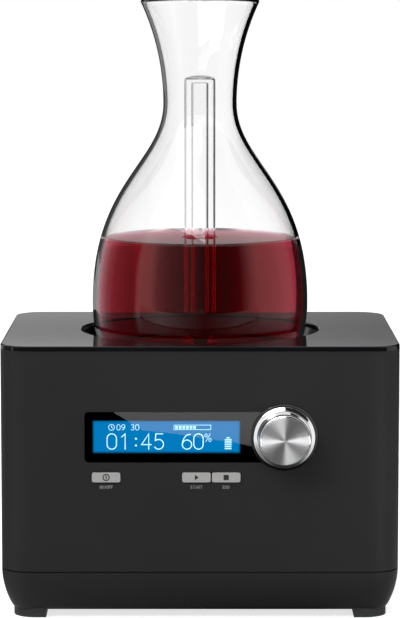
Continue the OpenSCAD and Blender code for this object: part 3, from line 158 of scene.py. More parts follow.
def line(a, b, steps):
    """Points on a straight line from a to b."""
    return [tuple(p + (q - p) * i / steps for p, q in zip(a, b)) for i in range(steps + 1)]


def loop(cx, cy, rx, ry, a0=0, a1=360, steps=20):
    """Points on an ellipse from angle a0 to a1, in degrees."""
    turns = [radians(a0 + (a1 - a0) * i / steps) for i in range(steps + 1)]
    return [(cx + rx * cos(a), cy + ry * sin(a)) for a in turns]


def arc(cx, cy, r, a0, a1, steps):
    return loop(cx, cy, r, r, a0, a1, steps)


def bezier(a, b, c, d, steps):
    """Points on a cubic curve from a to d with the handles b and c."""
    points = []
    for i in range(steps + 1):
        t = i / steps
        u = 1 - t
        shares = (u**3, 3 * t * u * u, 3 * t * t * u, t**3)
        points.append(tuple(sum(s * p[k] for s, p in zip(shares, (a, b, c, d))) for k in (0, 1)))
    return points


def inset(points, distance):
    """The points moved to the left of the way they run."""
    moved = []
    for i, p in enumerate(points):
        q = Vector(points[min(i + 1, len(points) - 1)]) - Vector(points[max(i - 1, 0)])
        q.normalize()
        moved.append((p[0] - q.y * distance, p[1] + q.x * distance))
    return moved


# Shader helpers

def new_material(name):
    """A material with its node tree and its shader."""
    material = bpy.data.materials.new(name)
    material.use_nodes = True
    tree = material.node_tree
    return material, tree, tree.nodes["Principled BSDF"]


def add_node(tree, kind, **values):
    """A node with values for its inputs or its settings."""
    node = tree.nodes.new(kind)
    for key, value in values.items():
        if key in node.inputs:
            node.inputs[key].default_value = value
        else:
            setattr(node, key, value)
    return node


def calc(tree, operation, *terms):
    """The outcome of a math node. Each term is a socket or a number."""
    node = add_node(tree, "ShaderNodeMath", operation=operation)
    for place, term in zip(node.inputs, terms):
        if isinstance(term, (int, float)):
            place.default_value = term
        else:
            tree.links.new(term, place)
    return node.outputs[0]


def mix_shaders(tree, factor, first, second):
    node = tree.nodes.new("ShaderNodeMixShader")
    for place, source in zip(node.inputs, (factor, first, second)):
        tree.links.new(source, place)
    return node.outputs["Shader"]


def map_range(tree, value, low, high, **options):
    """A value as its way from low, which is 0, to high, which is 1."""
    node = add_node(tree, "ShaderNodeMapRange", **options)
    node.inputs["From Min"].default_value = low
    node.inputs["From Max"].default_value = high
    tree.links.new(value, node.inputs["Value"])
    return node.outputs["Result"]


def object_point(tree):
    return tree.nodes.new("ShaderNodeTexCoord").outputs["Object"]


def split_xyz(tree, vector):
    node = tree.nodes.new("ShaderNodeSeparateXYZ")
    tree.links.new(vector, node.inputs["Vector"])
    return node.outputs


def ramp(tree, source, stops):
    """A colour ramp with stops of (place, colour), or of (place, shade) for greys."""
    node = tree.nodes.new("ShaderNodeValToRGB")
    tree.links.new(source, node.inputs["Fac"])
    while len(node.color_ramp.elements) < len(stops):
        node.color_ramp.elements.new(0.5)
    for element, (place, colour) in zip(node.color_ramp.elements, stops):
        element.position = place
        element.color = (*colour, 1) if isinstance(colour, tuple) else (colour, colour, colour, 1)
    return node.outputs["Color"]


def noise(tree, scale, detail=3.0, stretch=(1, 1, 1)):
    """Noise in the object's metres, scale in spots per metre."""
    mapping = add_node(tree, "ShaderNodeMapping", Scale=stretch)
    tree.links.new(object_point(tree), mapping.inputs["Vector"])
    node = add_node(tree, "ShaderNodeTexNoise", Scale=scale, Detail=detail)
    tree.links.new(mapping.outputs["Vector"], node.inputs["Vector"])
    return node.outputs["Fac"]


def vary(tree, source, low, high, *sockets, start=0.3, end=0.7):
    """Lets a noise change sockets from low to high, over the middle of the noise's range."""
    shade = ramp(tree, source, [(start, low), (end, high)])
    for socket in sockets:
        tree.links.new(shade, socket)


def bump(tree, shader, height, distance):
    node = add_node(tree, "ShaderNodeBump", Distance=distance)
    tree.links.new(height, node.inputs["Height"])
    tree.links.new(node.outputs["Normal"], shader.inputs["Normal"])


def scaled(colour, factor):
    return tuple(c * factor for c in colour)


def plastic(name, colour, rough, grain=1500.0, depth=0.00003, spread=0.12, specular=0.5):
    """Moulded plastic or rubber: a fine grain, and a slow change of shade and gloss."""
    material, tree, shader = new_material(name)
    vary(tree, noise(tree, 14.0), scaled(colour, 1 - spread), scaled(colour, 1 + spread),
         shader.inputs["Base Color"])
    vary(tree, noise(tree, 60.0), rough * 0.94, min(1, rough * 1.06), shader.inputs["Roughness"])
    shader.inputs["Specular IOR Level"].default_value = specular
    bump(tree, shader, noise(tree, grain, 2.0), depth)
    return material


def metal(name, colour, rough, grain=900.0, depth=0.000004, stretch=(1, 1, 1)):
    """Bare metal with a faint unevenness of its polish."""
    material, tree, shader = new_material(name)
    slow = noise(tree, 40.0, stretch=stretch)
    vary(tree, slow, scaled(colour, 0.95), colour, shader.inputs["Base Color"], start=0.35, end=0.65)
    fine = noise(tree, grain, stretch=stretch)
    vary(tree, fine, rough * 0.85, rough * 1.15, shader.inputs["Roughness"])
    shader.inputs["Metallic"].default_value = 1.0
    bump(tree, shader, fine, depth)
    return material


def clear(name, ior):
    """Clear glass or acrylic, with a barely uneven surface."""
    material, tree, shader = new_material(name)
    vary(tree, noise(tree, 9.0), 0.995, 1.0, shader.inputs["Base Color"])
    shader.inputs["Transmission Weight"].default_value = 1.0
    shader.inputs["Roughness"].default_value = 0.0
    shader.inputs["IOR"].default_value = ior
    bump(tree, shader, noise(tree, 25.0, 1.0), 0.00002)
    return material


def spun_aluminium():
    """Fine turning lines round the knob's axis, with the gloss drawn out across them."""
    material, tree, shader = new_material("spun_aluminium")
    link = tree.links.new
    shift = add_node(tree, "ShaderNodeMapping", Location=(-KNOB_X * MM, 0, -KNOB_Z * MM))
    link(object_point(tree), shift.inputs["Vector"])
    split = split_xyz(tree, shift.outputs["Vector"])
    flat = tree.nodes.new("ShaderNodeCombineXYZ")
    link(split["X"], flat.inputs["X"])
    link(split["Z"], flat.inputs["Y"])
    radius = add_node(tree, "ShaderNodeVectorMath", operation="LENGTH")
    link(flat.outputs["Vector"], radius.inputs[0])
    lines = add_node(tree, "ShaderNodeTexNoise", noise_dimensions="1D", Scale=9000.0, Detail=4.0)
    link(radius.outputs["Value"], lines.inputs["W"])
    vary(tree, lines.outputs["Fac"], (0.6, 0.6, 0.61), (0.78, 0.78, 0.79), shader.inputs["Base Color"])
    tangent = add_node(tree, "ShaderNodeTangent", direction_type="RADIAL", axis="Y")
    link(tangent.outputs["Tangent"], shader.inputs["Tangent"])
    shader.inputs["Metallic"].default_value = 1.0
    shader.inputs["Roughness"].default_value = 0.44
    shader.inputs["Anisotropic"].default_value = 0.95
    shader.inputs["Anisotropic Rotation"].default_value = 0.25
    return material


def lit_display(beyond=0.2, within=1.6):
    """The backlit panel: even in the middle, softly darker from within its edges to just beyond them."""
    material, tree, shader = new_material("lit_display")
    split = split_xyz(tree, object_point(tree))
    edges = []
    for axis, centre, half in (("X", LCD_X, LCD_W / 2), ("Z", LCD_Z, LCD_H / 2)):
        away = calc(tree, "ABSOLUTE", calc(tree, "SUBTRACT", split[axis], centre * MM))
        edges.append(map_range(tree, away, (half + beyond) * MM, (half - within) * MM,
                               interpolation_type="SMOOTHSTEP"))
    glow = ramp(tree, calc(tree, "MULTIPLY", *edges), [(0.0, (0.0, 0.012, 0.03)), (1.0, (0.0, 0.195, 0.51))])
    shader.inputs["Base Color"].default_value = (0.0, 0.02, 0.05, 1)
    shader.inputs["Roughness"].default_value = 0.4
    shader.inputs["Specular IOR Level"].default_value = 0.0
    tree.links.new(glow, shader.inputs["Emission Color"])
    shader.inputs["Emission Strength"].default_value = 1.0
    return material


def ink(name, colour, glow=0.0):
    """Printed or lit strokes, slightly uneven."""
    material, tree, shader = new_material(name)
    coloured = ["Base Color"]
    shader.inputs["Roughness"].default_value = 0.6
    if glow:
        coloured.append("Emission Color")
        shader.inputs["Emission Strength"].default_value = glow
        shader.inputs["Specular IOR Level"].default_value = 0.0
    vary(tree, noise(tree, 900.0), scaled(colour, 0.9), colour, *[shader.inputs[key] for key in coloured])
    return material


def red_wine():
    """Wine: clear liquid that takes up light on its way through."""
    material, tree, shader = new_material("red_wine")
    vary(tree, noise(tree, 12.0), (1, 0.93, 0.93), (1, 0.96, 0.96), shader.inputs["Base Color"])
    shader.inputs["Transmission Weight"].default_value = 1.0
    shader.inputs["Roughness"].default_value = 0.0
    shader.inputs["IOR"].default_value = 1.027
    volume = add_node(tree, "ShaderNodeVolumeAbsorption", Density=72.0, Color=(0.76, 0.0, 0.25, 1))
    tree.links.new(volume.outputs["Volume"], tree.nodes["Material Output"].inputs["Volume"])
    return material


# Materials

SHELL = plastic("soft_touch_shell", (0.0195, 0.0195, 0.02), 0.56, spread=0.05, specular=0.15)
GLOSS = plastic("polished_black", (0.006, 0.006, 0.007), 0.06, grain=300.0, depth=0.000002, specular=0.4)
RUBBER = plastic("black_rubber", (0.017, 0.017, 0.017), 0.8, grain=900.0, depth=0.00008)
PANEL_BLACK = plastic("moulded_black", (0.012, 0.012, 0.012), 0.5, grain=700.0)
PALE = plastic("pale_plastic", (0.72, 0.73, 0.73), 0.45)
BOARD = plastic("circuit_board", (0.02, 0.11, 0.05), 0.35, grain=400.0, spread=0.3)
BUTTON = plastic("satin_buttons", (0.42, 0.415, 0.41), 0.34, grain=2600.0, depth=0.00001, spread=0.03)
SILICONE = plastic("silicone", (0.6, 0.6, 0.57), 0.4)
FOAM = plastic("filter_foam", (0.7, 0.68, 0.6), 0.95, grain=500.0, depth=0.0006, spread=0.25)
LEAD_BLACK = plastic("black_lead", (0.02, 0.02, 0.02), 0.45)
LEAD_RED = plastic("red_lead", (0.35, 0.02, 0.015), 0.45)
STEEL = metal("plain_steel", (0.5, 0.5, 0.52), 0.32)
CORE = metal("laminated_steel", (0.22, 0.22, 0.23), 0.5, grain=1400.0, depth=0.00005, stretch=(0.02, 0.02, 1))
COPPER = metal("copper_winding", (0.72, 0.33, 0.15), 0.35, grain=1600.0, depth=0.0001,
               stretch=(1, 0.02, 0.02))
CHROME = metal("knob_chrome", (0.86, 0.86, 0.87), 0.05, depth=0.000001)
GLASS = clear("blown_glass", 1.42)
TUBING = clear("glass_tubing", 1.15)
PIPE_GLASS = clear("glass_pipe", 1.3)
WET_GLASS = clear("glass_in_wine", 1.035)
LENS = clear("display_acrylic", 1.47)
SPUN = spun_aluminium()
LCD_GLOW = lit_display()
LCD_INK = ink("display_strokes", (0.45, 0.82, 0.95), glow=0.9)
PRINT_DARK = ink("button_print", (0.012, 0.012, 0.012))
PRINT_GREY = ink("label_print", (0.3, 0.3, 0.3))
WINE = red_wine()

FINISH = {
    SHELL: "main_shell base_tub",
    GLOSS: "top_plate decanter_well knob_ring display_mask",
    RUBBER: "feet seat_ring pump_mounts diaphragm",
    STEEL: "housing_screws board_screws pump_screws encoder_nut encoder_shaft encoder_body nozzle_nut "
           "air_nozzle pivot_pin dc_nut pump_arm",
    LENS: "display_lens",
    PANEL_BLACK: "switch_bodies power_plunger play_plunger stop_plunger board_parts dc_inlet "
                 "filter_canister filter_cap pump_chassis valve_chamber valve_cover",
    LCD_GLOW: "lcd_panel",
    PALE: "lcd_backlight check_valve display_ribbon",
    BOARD: "display_board control_board",
    BUTTON: "power_button play_button stop_button",
    CHROME: "knob_skirt",
    SPUN: "knob_face",
    SILICONE: "nozzle_seal supply_hose outlet_hose intake_hose",
    FOAM: "filter_cartridge",
    CORE: "pump_core arm_magnets",
    COPPER: "pump_coil",
    LEAD_BLACK: "dc_lead",
    LEAD_RED: "pump_lead",
    GLASS: "decanter_bottom decanter_bowl decanter_shoulder decanter_neck",
    TUBING: "bubbler_tube",
    PIPE_GLASS: "standpipe",
}
for material, names in FINISH.items():
    for name in names.split():
        nodes[name].data.materials.clear()
        nodes[name].data.materials.append(material)


# Glass and wine

def wall_outside():
    """The outer surface from the belly up to the rim."""
    rise = NECK_H - BELLY_H
    shoulder = bezier((BELLY_R, BELLY_H), (BELLY_R, BELLY_H + BELLY_FULL * rise),
                      (NECK_R, NECK_H - NECK_FULL * rise), (NECK_R, NECK_H), 48)
    lean = degrees(asin((GLASS_H - GLASS_T / 2 - NECK_H) / FLARE_R))
    return shoulder + arc(NECK_R + FLARE_R, NECK_H, FLARE_R, 180, 180 - lean, 24)[1:]


def punt_outside():
    """The underside from its raised middle out to the ring that the glass stands on."""
    middle = BASE_R - 1.5 * STAND_W
    return bezier((BASE_R - 2 * STAND_W, PUNT_H), (middle, PUNT_H), (middle, 0), (BASE_R - STAND_W, 0), 12)


def corner_outside():
    """The outer surface from that ring up to the belly."""
    return bezier((BASE_R, 0), (BASE_R + BASE_FULL * (BELLY_R - BASE_R), 0),
                  (BELLY_R, BASE_RISE * BELLY_H), (BELLY_R, BELLY_H), 24)


def inside_wall():
    """The inner surface from the raised middle of the bottom up to the rim."""
    return (inset(punt_outside(), GLASS_T) + inset(corner_outside(), GLASS_T)
            + inset(wall_outside(), GLASS_T)[1:])


def glass_profile():
    """The whole wall, with a rounded rim and the mouth of the standpipe in its bottom."""
    outside = wall_outside()
    end, before = Vector(outside[-1]), Vector(outside[-2])
    along = (end - before).normalized()
    across = Vector((-along.y, along.x))
    rim = [tuple(end + GLASS_T / 2 * ((1 - cos(radians(a))) * across + sin(radians(a)) * along))
           for a in range(15, 180, 15)]
    inner = inside_wall()[::-1]
    mouth = [(PIPE_MOUTH, GLASS_FLOOR), (PIPE_MOUTH, PUNT_H)]
    return corner_outside() + outside[1:] + rim + inner + mouth + punt_outside()


def pipe_profile(fillet=1.2, lip=0.6):
    """The standpipe, from its foot on the raised middle of the bottom to its rounded top."""
    foot = arc(PIPE_FOOT + fillet, GLASS_FLOOR + fillet, fillet, 270, 180, 5)
    outside = [(r, GLASS_FLOOR + h) for r, h in PIPE_CONE] + [(PIPE_R, WINE_LEVEL), (PIPE_R, PIPE_H - lip)]
    top = [(PIPE_R - 0.2, PIPE_H - lip / 4), (PIPE_R - 0.75, PIPE_H), (PIPE_BORE + 0.2, PIPE_H - lip / 4)]
    bore = [(PIPE_BORE, h) for h in (PIPE_H - lip, WINE_LEVEL, PIPE_BORE_LOW)]
    return foot + outside + top + bore + [(PIPE_MOUTH, GLASS_FLOOR)]


def tube_profile():
    """The bubbler tube: open below, with a round shoulder and a shallow crown on top."""
    inner = TUBE_R - TUBE_T
    foot = [(inner, TUBE_LOW), (inner + 0.4, TUBE_LOW), (TUBE_R - 0.3, TUBE_LOW), (TUBE_R, TUBE_LOW + 0.4)]
    centre = (TUBE_R - TUBE_ROUND, TUBE_TOP - TUBE_ROUND)
    crown = [(r, TUBE_TOP + CROWN_H * (1 - (r / TUBE_R) ** 2) - CROWN_SINK) for r in CROWN_RADII]
    outside = [(TUBE_R, WINE_LEVEL)] + arc(*centre, TUBE_ROUND, 0, 75, 10) + crown
    inside = [(r, h - TUBE_T) for r, h in crown[::-1]] + arc(*centre, TUBE_ROUND - TUBE_T, 75, 0, 8)
    return foot + outside + inside + [(inner, WINE_LEVEL)]


def wine_profile():
    """Everything inside the glass below the level, a hair inside the wall, with a meniscus at the
    wall and at the tube."""
    wall = [(r, h) for r, h in inset(inside_wall(), WINE_GAP) if h < WINE_LEVEL - 0.5]
    edge, inner = wall[-1][0], TUBE_R - TUBE_T
    at_wall = [(edge - away, WINE_LEVEL + rise) for away, rise in WALL_MENISCUS]
    at_tube = [(TUBE_R + away, WINE_LEVEL + rise) for away, rise in TUBE_MENISCUS]
    in_tube = [(inner, at_tube[-1][1]), (inner - 0.5, WINE_LEVEL), (0, WINE_LEVEL)]
    return [(0, GLASS_FLOOR + WINE_GAP)] + wall + at_wall + at_tube + in_tube


def wet(piece):
    """Below the wine's level a tube bends light less, since wine is closer to glass than air is."""
    piece.data.materials.append(WET_GLASS)
    for face in piece.data.polygons:
        if face.center.z < (GLASS_Z + WINE_LEVEL) * MM:
            face.material_index = 1


glass = add_mesh("decanter_glass_wall", lathe(glass_profile(), on_glass_axis, 160, closed=True),
                 "decanter_glass", GLASS)
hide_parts("decanter_bottom", "decanter_bowl", "decanter_shoulder", "decanter_neck")

pipe = add_mesh("standpipe_glass", lathe(pipe_profile(), on_glass_axis, 96, closed=True),
                "decanter_glass", PIPE_GLASS)
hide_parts("standpipe")
wet(pipe)

tube = add_mesh("bubbler_tube_glass", lathe(tube_profile(), on_glass_axis, 96, closed=True),
                "bubbler", TUBING)
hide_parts("bubbler_tube")
wet(tube)

add_mesh("wine", lathe(wine_profile(), on_glass_axis, 160), "decanter_glass", WINE)


# Knob

def knob_profile():
    """The skirt: a flange, a slope up to a brow, the sunk seat of the face in it, and a hollow behind."""
    top, seat = KNOB_OUT - 0.4, KNOB_OUT - 1.0
    back, edge = 0.5, 0.4
    hollow_r, hollow_out = 8.4, 7.0
    outer = arc(KNOB_R - edge, back + edge, edge, -90, 0, 5)
    flange = [(KNOB_R - inward, out) for inward, out in KNOB_FLANGE]
    brow = [(FACE_R + outward, top - down) for outward, down in KNOB_BROW]
    inside = [(brow[-1][0], seat), (0, seat), (0, hollow_out), (hollow_r, hollow_out)]
    return [(hollow_r, back)] + outer + flange + brow + inside


skirt = add_mesh("knob_skirt_turned", lathe(knob_profile(), on_knob_axis, 160, closed=True), "knob", CHROME)
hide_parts("knob_skirt")


# Pieces inside that need room for a motion

def pump_rubber():
    """The pump's diaphragm: its rim on the valve chamber, and its middle towards the swinging arm."""
    low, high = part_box("diaphragm")
    centre = (low + high) / 2 / MM
    face, rim = low.x / MM, high.x / MM
    rim_r, skin = (high.z - low.z) / MM / 2, 2.0
    middle = [(0, face), (rim_r / 2, face), (0.55 * rim_r, face + 0.25)]
    outside = line((0.6 * rim_r, face + 1.0), (0.85 * rim_r, rim - 3.0), 8)
    flange = [(rim_r, rim - skin), (rim_r, rim), (0.83 * rim_r, rim)]
    inside = line((0.74 * rim_r, rim - 1.8), (0.5 * rim_r, face + skin), 8)
    profile = middle + outside + flange + inside + [(0, face + skin)]
    bm = lathe(profile, lambda r, a, x: (x, centre.y + r * cos(a), centre.z + r * sin(a)), 64)
    piece = add_mesh("diaphragm_rubber", bm, None, RUBBER)
    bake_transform(piece)
    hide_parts("diaphragm")


def switch_housings(sides=32):
    """The switch bodies, with a bore for the plunger and a front just below where the stems stop."""
    low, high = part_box("switch_bodies")
    half, corner = (high.z - low.z) / MM / 2, 0.3
    bore_r, bore_depth = 1.9, 3.0
    front, back = low.y / MM + STEM_ROOM, high.y / MM
    turns = [2 * pi * k / sides for k in range(sides)]

    def square(reach, y):
        out = [reach / max(abs(cos(a)), abs(sin(a))) for a in turns]
        return [(r * cos(a), y, r * sin(a)) for r, a in zip(out, turns)]

    def circle(y):
        return [(bore_r * cos(a), y, bore_r * sin(a)) for a in turns]

    outline = [square(half, back), square(half, front + corner), square(half - corner, front),
               circle(front), circle(front + bore_depth)]
    bm = bmesh.new()
    for switch_x in (POWER_X, PLAY_X, STOP_X):
        rings = [[bm.verts.new(Vector((switch_x + x, y, BUTTON_Z + z)) * MM) for x, y, z in ring]
                 for ring in outline]
        for near, far in zip(rings, rings[1:]):
            for k in range(sides):
                n = (k + 1) % sides
                bm.faces.new((near[k], near[n], far[n], far[k]))
        bm.faces.new(rings[0])
        bm.faces.new(rings[-1])
    piece = add_mesh("switch_housings", bm, "base", PANEL_BLACK, smooth=False)
    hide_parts("switch_bodies")


pump_rubber()
switch_housings()


# Strokes for the display, the buttons and their labels

# Letters one unit high, each a list of strokes
GLYPHS = {
    " ": [],
    "0": [loop(0.3, 0.7, 0.3, 0.3, 0, 180, 12) + loop(0.3, 0.3, 0.3, 0.3, 180, 360, 12) + [(0.6, 0.7)]],
    "1": [[(0.12, 0.8), (0.34, 1.0), (0.34, 0.0)]],
    "3": [loop(0.28, 0.75, 0.26, 0.25, 150, -90, 12), loop(0.28, 0.26, 0.3, 0.26, 90, -150, 12)],
    "4": [[(0.46, 0.0), (0.46, 1.0), (0.0, 0.3), (0.62, 0.3)]],
    "5": [[(0.54, 1.0), (0.1, 1.0), (0.06, 0.56)] + loop(0.28, 0.32, 0.31, 0.32, 130, -145, 14)],
    "6": [[(0.5, 0.97), (0.3, 0.93), (0.12, 0.74), (0.03, 0.5), (0.0, 0.3)], loop(0.3, 0.3, 0.3, 0.3)],
    "9": [[(0.1, 0.03), (0.3, 0.07), (0.48, 0.26), (0.57, 0.5), (0.6, 0.7)], loop(0.3, 0.7, 0.3, 0.3)],
    "%": [[(0.1, 0.0), (0.62, 1.0)], loop(0.12, 0.78, 0.15, 0.2, steps=14),
          loop(0.6, 0.22, 0.15, 0.2, steps=14)],
    ":": [loop(0.1, 0.68, 0.035, 0.035, steps=8), loop(0.1, 0.24, 0.035, 0.035, steps=8)],
    "/": [[(0.0, -0.1), (0.4, 1.1)]],
    "A": [[(0.0, 0.0), (0.32, 1.0), (0.64, 0.0)], [(0.12, 0.35), (0.52, 0.35)]],
    "D": [[(0.0, 0.0), (0.0, 1.0), (0.25, 1.0)] + loop(0.25, 0.5, 0.35, 0.5, 80, -80, 10)
          + [(0.25, 0.0), (0.0, 0.0)]],
    "E": [[(0.52, 1.0), (0.0, 1.0), (0.0, 0.0), (0.52, 0.0)], [(0.0, 0.52), (0.45, 0.52)]],
    "F": [[(0.52, 1.0), (0.0, 1.0), (0.0, 0.0)], [(0.0, 0.52), (0.45, 0.52)]],
    "N": [[(0.0, 0.0), (0.0, 1.0), (0.58, 0.0), (0.58, 1.0)]],
    "O": [loop(0.35, 0.5, 0.35, 0.5)],
    "R": [[(0.0, 0.0), (0.0, 1.0), (0.3, 1.0)] + loop(0.3, 0.75, 0.25, 0.25, 80, -80, 8)
          + [(0.3, 0.5), (0.0, 0.5)], [(0.3, 0.5), (0.58, 0.0)]],
    "S": [loop(0.28, 0.74, 0.26, 0.26, 40, 270, 12) + loop(0.28, 0.25, 0.28, 0.25, 90, -140, 12)],
    "T": [[(0.0, 1.0), (0.6, 1.0)], [(0.3, 1.0), (0.3, 0.0)]],
}
LETTER_W = 0.62
ODD_WIDTHS = {":": 0.2, "/": 0.4, "1": 0.46, "%": 0.75, "E": 0.52, "F": 0.5}


def words(text, x, z, height, gap=0.24):
    """The strokes of a line of text, its lower left corner at x, z, in mm."""
    strokes = []
    for letter in text:
        for stroke in GLYPHS[letter]:
            strokes.append([(x + px * height, z + pz * height) for px, pz in stroke])
        x += (ODD_WIDTHS.get(letter, LETTER_W) + gap) * height
    return strokes


def centred(text, x, z, height, gap):
    """The same with the middle of its lower edge at x, z."""
    strokes = words(text, 0, z, height, gap)
    right = max(p[0] for stroke in strokes for p in stroke)
    return [[(px + x - right / 2, pz) for px, pz in stroke] for stroke in strokes]


def ribbon(bm, stroke, width, y):
    """One stroke as a flat ribbon that faces the front."""
    points = [Vector(p) for p in stroke]
    closed = len(points) > 3 and (points[0] - points[-1]).length < TINY
    if closed:
        points.pop()
    last = len(points) - 1
    sides = []
    for i, p in enumerate(points):
        before = points[i - 1] if closed or i else p
        after = points[(i + 1) % len(points)] if closed or i < last else p
        a, b = p - before, after - p
        a = a.normalized() if a.length else b.normalized()
        b = b.normalized() if b.length else a
        mid = (a + b).normalized() if (a + b).length > TINY else a
        normal = Vector((-mid.y, mid.x)) * (width / 2 / max(0.5, mid.dot(a)))
        if not closed and i == 0:
            p = p - mid * width / 2
        elif not closed and i == last:
            p = p + mid * width / 2
        sides.append([bm.verts.new((q.x * MM, y * MM, q.y * MM)) for q in (p + normal, p - normal)])
    for left, right in zip(sides, sides[1:] + (sides[:1] if closed else [])):
        bm.faces.new((left[0], left[1], right[1], right[0]))


def face_front(piece):
    """Turns every face of flat print to the front."""
    bm = bmesh.new()
    bm.from_mesh(piece.data)
    bm.normal_update()
    bmesh.ops.reverse_faces(bm, faces=[f for f in bm.faces if f.normal.y > 0])
    bm.to_mesh(piece.data)
    bm.free()


def print_on(name, body, material, y, strokes=(), width=0.3, patches=()):
    """A piece of flat print: strokes of one width, and patches that are filled outlines."""
    bm = bmesh.new()
    for stroke in strokes:
        ribbon(bm, stroke, width, y)
    for outline in patches:
        bm.faces.new([bm.verts.new((x * MM, y * MM, z * MM)) for x, z in outline])
    face_front(add_mesh(name, bm, body, material, smooth=False))


def rectangle(x0, z0, x1, z1):
    return [(x0, z0), (x1, z0), (x1, z1), (x0, z1)]


def display_marks():
    """Plain numbers, a clock, a bar and a battery in the place of the display's words."""
    y = LCD_FRONT - LCD_LIFT
    low, tall = LCD_Z - 7.7, 9.5
    big = words("01", -56.8, low, tall, gap=0.2) + words(":", -40.1, low, tall)
    big += words("45", -35.7, low, tall, gap=0.2) + words("60", -10.8, low, tall, gap=0.12)
    print_on("display_digits", "base", LCD_INK, y, big, 0.62)

    top, short = LCD_Z + 5.8, 3.4
    percent = words("%", 3.1, low + 4.6, 5.0)
    clock_x, clock_r = -54.1, 1.8
    clock = [loop(clock_x, top, clock_r, clock_r),
             [(clock_x, top + 1.1), (clock_x, top), (clock_x + 0.9, top - 0.6)]]
    hours = words("09 30", -50.8, top - short / 2, short, gap=0.22)
    border = rectangle(-15.9, top - 1.4, 6.6, top + 1.4)
    bar_w, bar_pitch = 1.6, 2.2
    starts = [-15.1 + bar_pitch * i for i in range(6)]
    bars = [rectangle(x, top - bar_w / 2, x + bar_w, top + bar_w / 2) for x in starts]
    cell_h, cell_pitch = 0.8, 1.35
    cells = [low + cell_pitch * i for i in range(5)]
    battery = [rectangle(15.1, z, 19.3, z + cell_h) for z in cells]
    battery.append(rectangle(16.2, low + 6.7, 18.2, low + 7.4))
    small = percent + clock + hours + [border + border[:1]]
    print_on("display_signs", "base", LCD_INK, y, small, 0.34, bars + battery)


def button_marks():
    """A circled bar, a triangle and a square on the buttons, and plain words below them."""
    y, z = BUTTON_FRONT - MARK_LIFT, BUTTON_Z
    ring_r, bar_half = 1.9, 0.8
    circled_bar = [loop(POWER_X, z, ring_r, ring_r), [(POWER_X, z + bar_half), (POWER_X, z - bar_half)]]
    print_on("power_mark", "power_key", PRINT_DARK, y, circled_bar, 0.65)
    triangle = [(PLAY_X - 0.9, z - 1.7), (PLAY_X + 1.3, z), (PLAY_X - 0.9, z + 1.7)]
    print_on("play_mark", "play_key", PRINT_DARK, y, patches=[triangle])
    half = 1.6
    square = rectangle(STOP_X - half, z - half, STOP_X + half, z + half)
    print_on("stop_mark", "stop_key", PRINT_DARK, y, patches=[square])
    label_z, label_h = BUTTON_Z - 7.0, 1.7
    labels = []
    for text, x in (("ON/OFF", POWER_X), ("START", PLAY_X), ("END", STOP_X)):
        labels += centred(text, x, label_z, label_h, gap=0.26)
    print_on("button_labels", "base", PRINT_GREY, FRONT_Y - LABEL_LIFT, labels)


display_marks()
button_marks()


# Stage: floor, light, cards that only reflections or refractions see, camera

WALL_SURFACES = 2  # that a ray through a glass wall passes
LOUVRE = 0.35  # how slantingly a ray has to meet a louvre to be stopped
FLOOR_SIZE = 6.0  # metres from the middle to an edge
BOUNCES = 24


def ray_mask(tree):
    """1 for rays from the camera and for what gloss and glass show, 0 for the light on matt surfaces."""
    path = tree.nodes.new("ShaderNodeLightPath").outputs
    shown = calc(tree, "MAXIMUM", path["Is Camera Ray"], path["Is Glossy Ray"])
    return calc(tree, "MAXIMUM", shown, path["Is Transmission Ray"])


def edge_mask(tree):
    """1 for rays that were reflected inside a glass wall, as they are along its edges. Such a ray has
    passed an odd number of walls, and one that was reflected on glass from outside an even number."""
    path = tree.nodes.new("ShaderNodeLightPath").outputs
    reflected = calc(tree, "GREATER_THAN", path["Glossy Depth"], 0.5)
    passed = calc(tree, "MODULO", path["Transmission Depth"], 2 * WALL_SURFACES)
    odd = calc(tree, "COMPARE", passed, WALL_SURFACES, 0.5)
    inside = calc(tree, "MULTIPLY", reflected, odd)
    return calc(tree, "MULTIPLY", inside, path["Is Transmission Ray"])


def edge_shade(tree, direction):
    """What those edges show, from the left of the object to its right. The decanter's own, behind two
    surfaces, are dark grey and black; those of the tubes in it, behind more, are pale and dark grey."""
    place = map_range(tree, split_xyz(tree, direction)["X"], -0.8, 0.8)
    own = ramp(tree, place, [(0.0, 0.08), (0.42, 0.05), (0.6, 0.003)])
    tubes = ramp(tree, place, [(0.0, 0.6), (0.45, 0.5), (0.6, 0.012)])
    depth = tree.nodes.new("ShaderNodeLightPath").outputs["Transmission Depth"]
    either = tree.nodes.new("ShaderNodeMixRGB")
    tree.links.new(calc(tree, "GREATER_THAN", depth, 2 * WALL_SURFACES), either.inputs["Fac"])
    tree.links.new(own, either.inputs["Color1"])
    tree.links.new(tubes, either.inputs["Color2"])
    return either.outputs["Color"]


def with_edges(tree, shown, kind, direction):
    """A shader that shows edge_shade to the rays of edge_mask, by a node of that kind."""
    dark = tree.nodes.new(kind)
    tree.links.new(edge_shade(tree, direction), dark.inputs["Color"])
    return mix_shaders(tree, edge_mask(tree), shown, dark.outputs[0])


def set_world(ambient):
    """A white world, of which matt surfaces get the ambient light."""
    world = bpy.data.worlds.new("studio")
    bpy.context.scene.world = world
    world.use_nodes = True
    tree = world.node_tree
    soft = tree.nodes["Background"]
    soft.inputs["Color"].default_value = (1, 1, 1, 1)
    soft.inputs["Strength"].default_value = ambient
    white = add_node(tree, "ShaderNodeBackground", Color=(1, 1, 1, 1))
    shown = mix_shaders(tree, ray_mask(tree), soft.outputs["Background"], white.outputs["Background"])
    direction = tree.nodes.new("ShaderNodeTexCoord").outputs["Generated"]
    surface = with_edges(tree, shown, "ShaderNodeBackground", direction)
    tree.links.new(surface, tree.nodes["World Output"].inputs["Surface"])


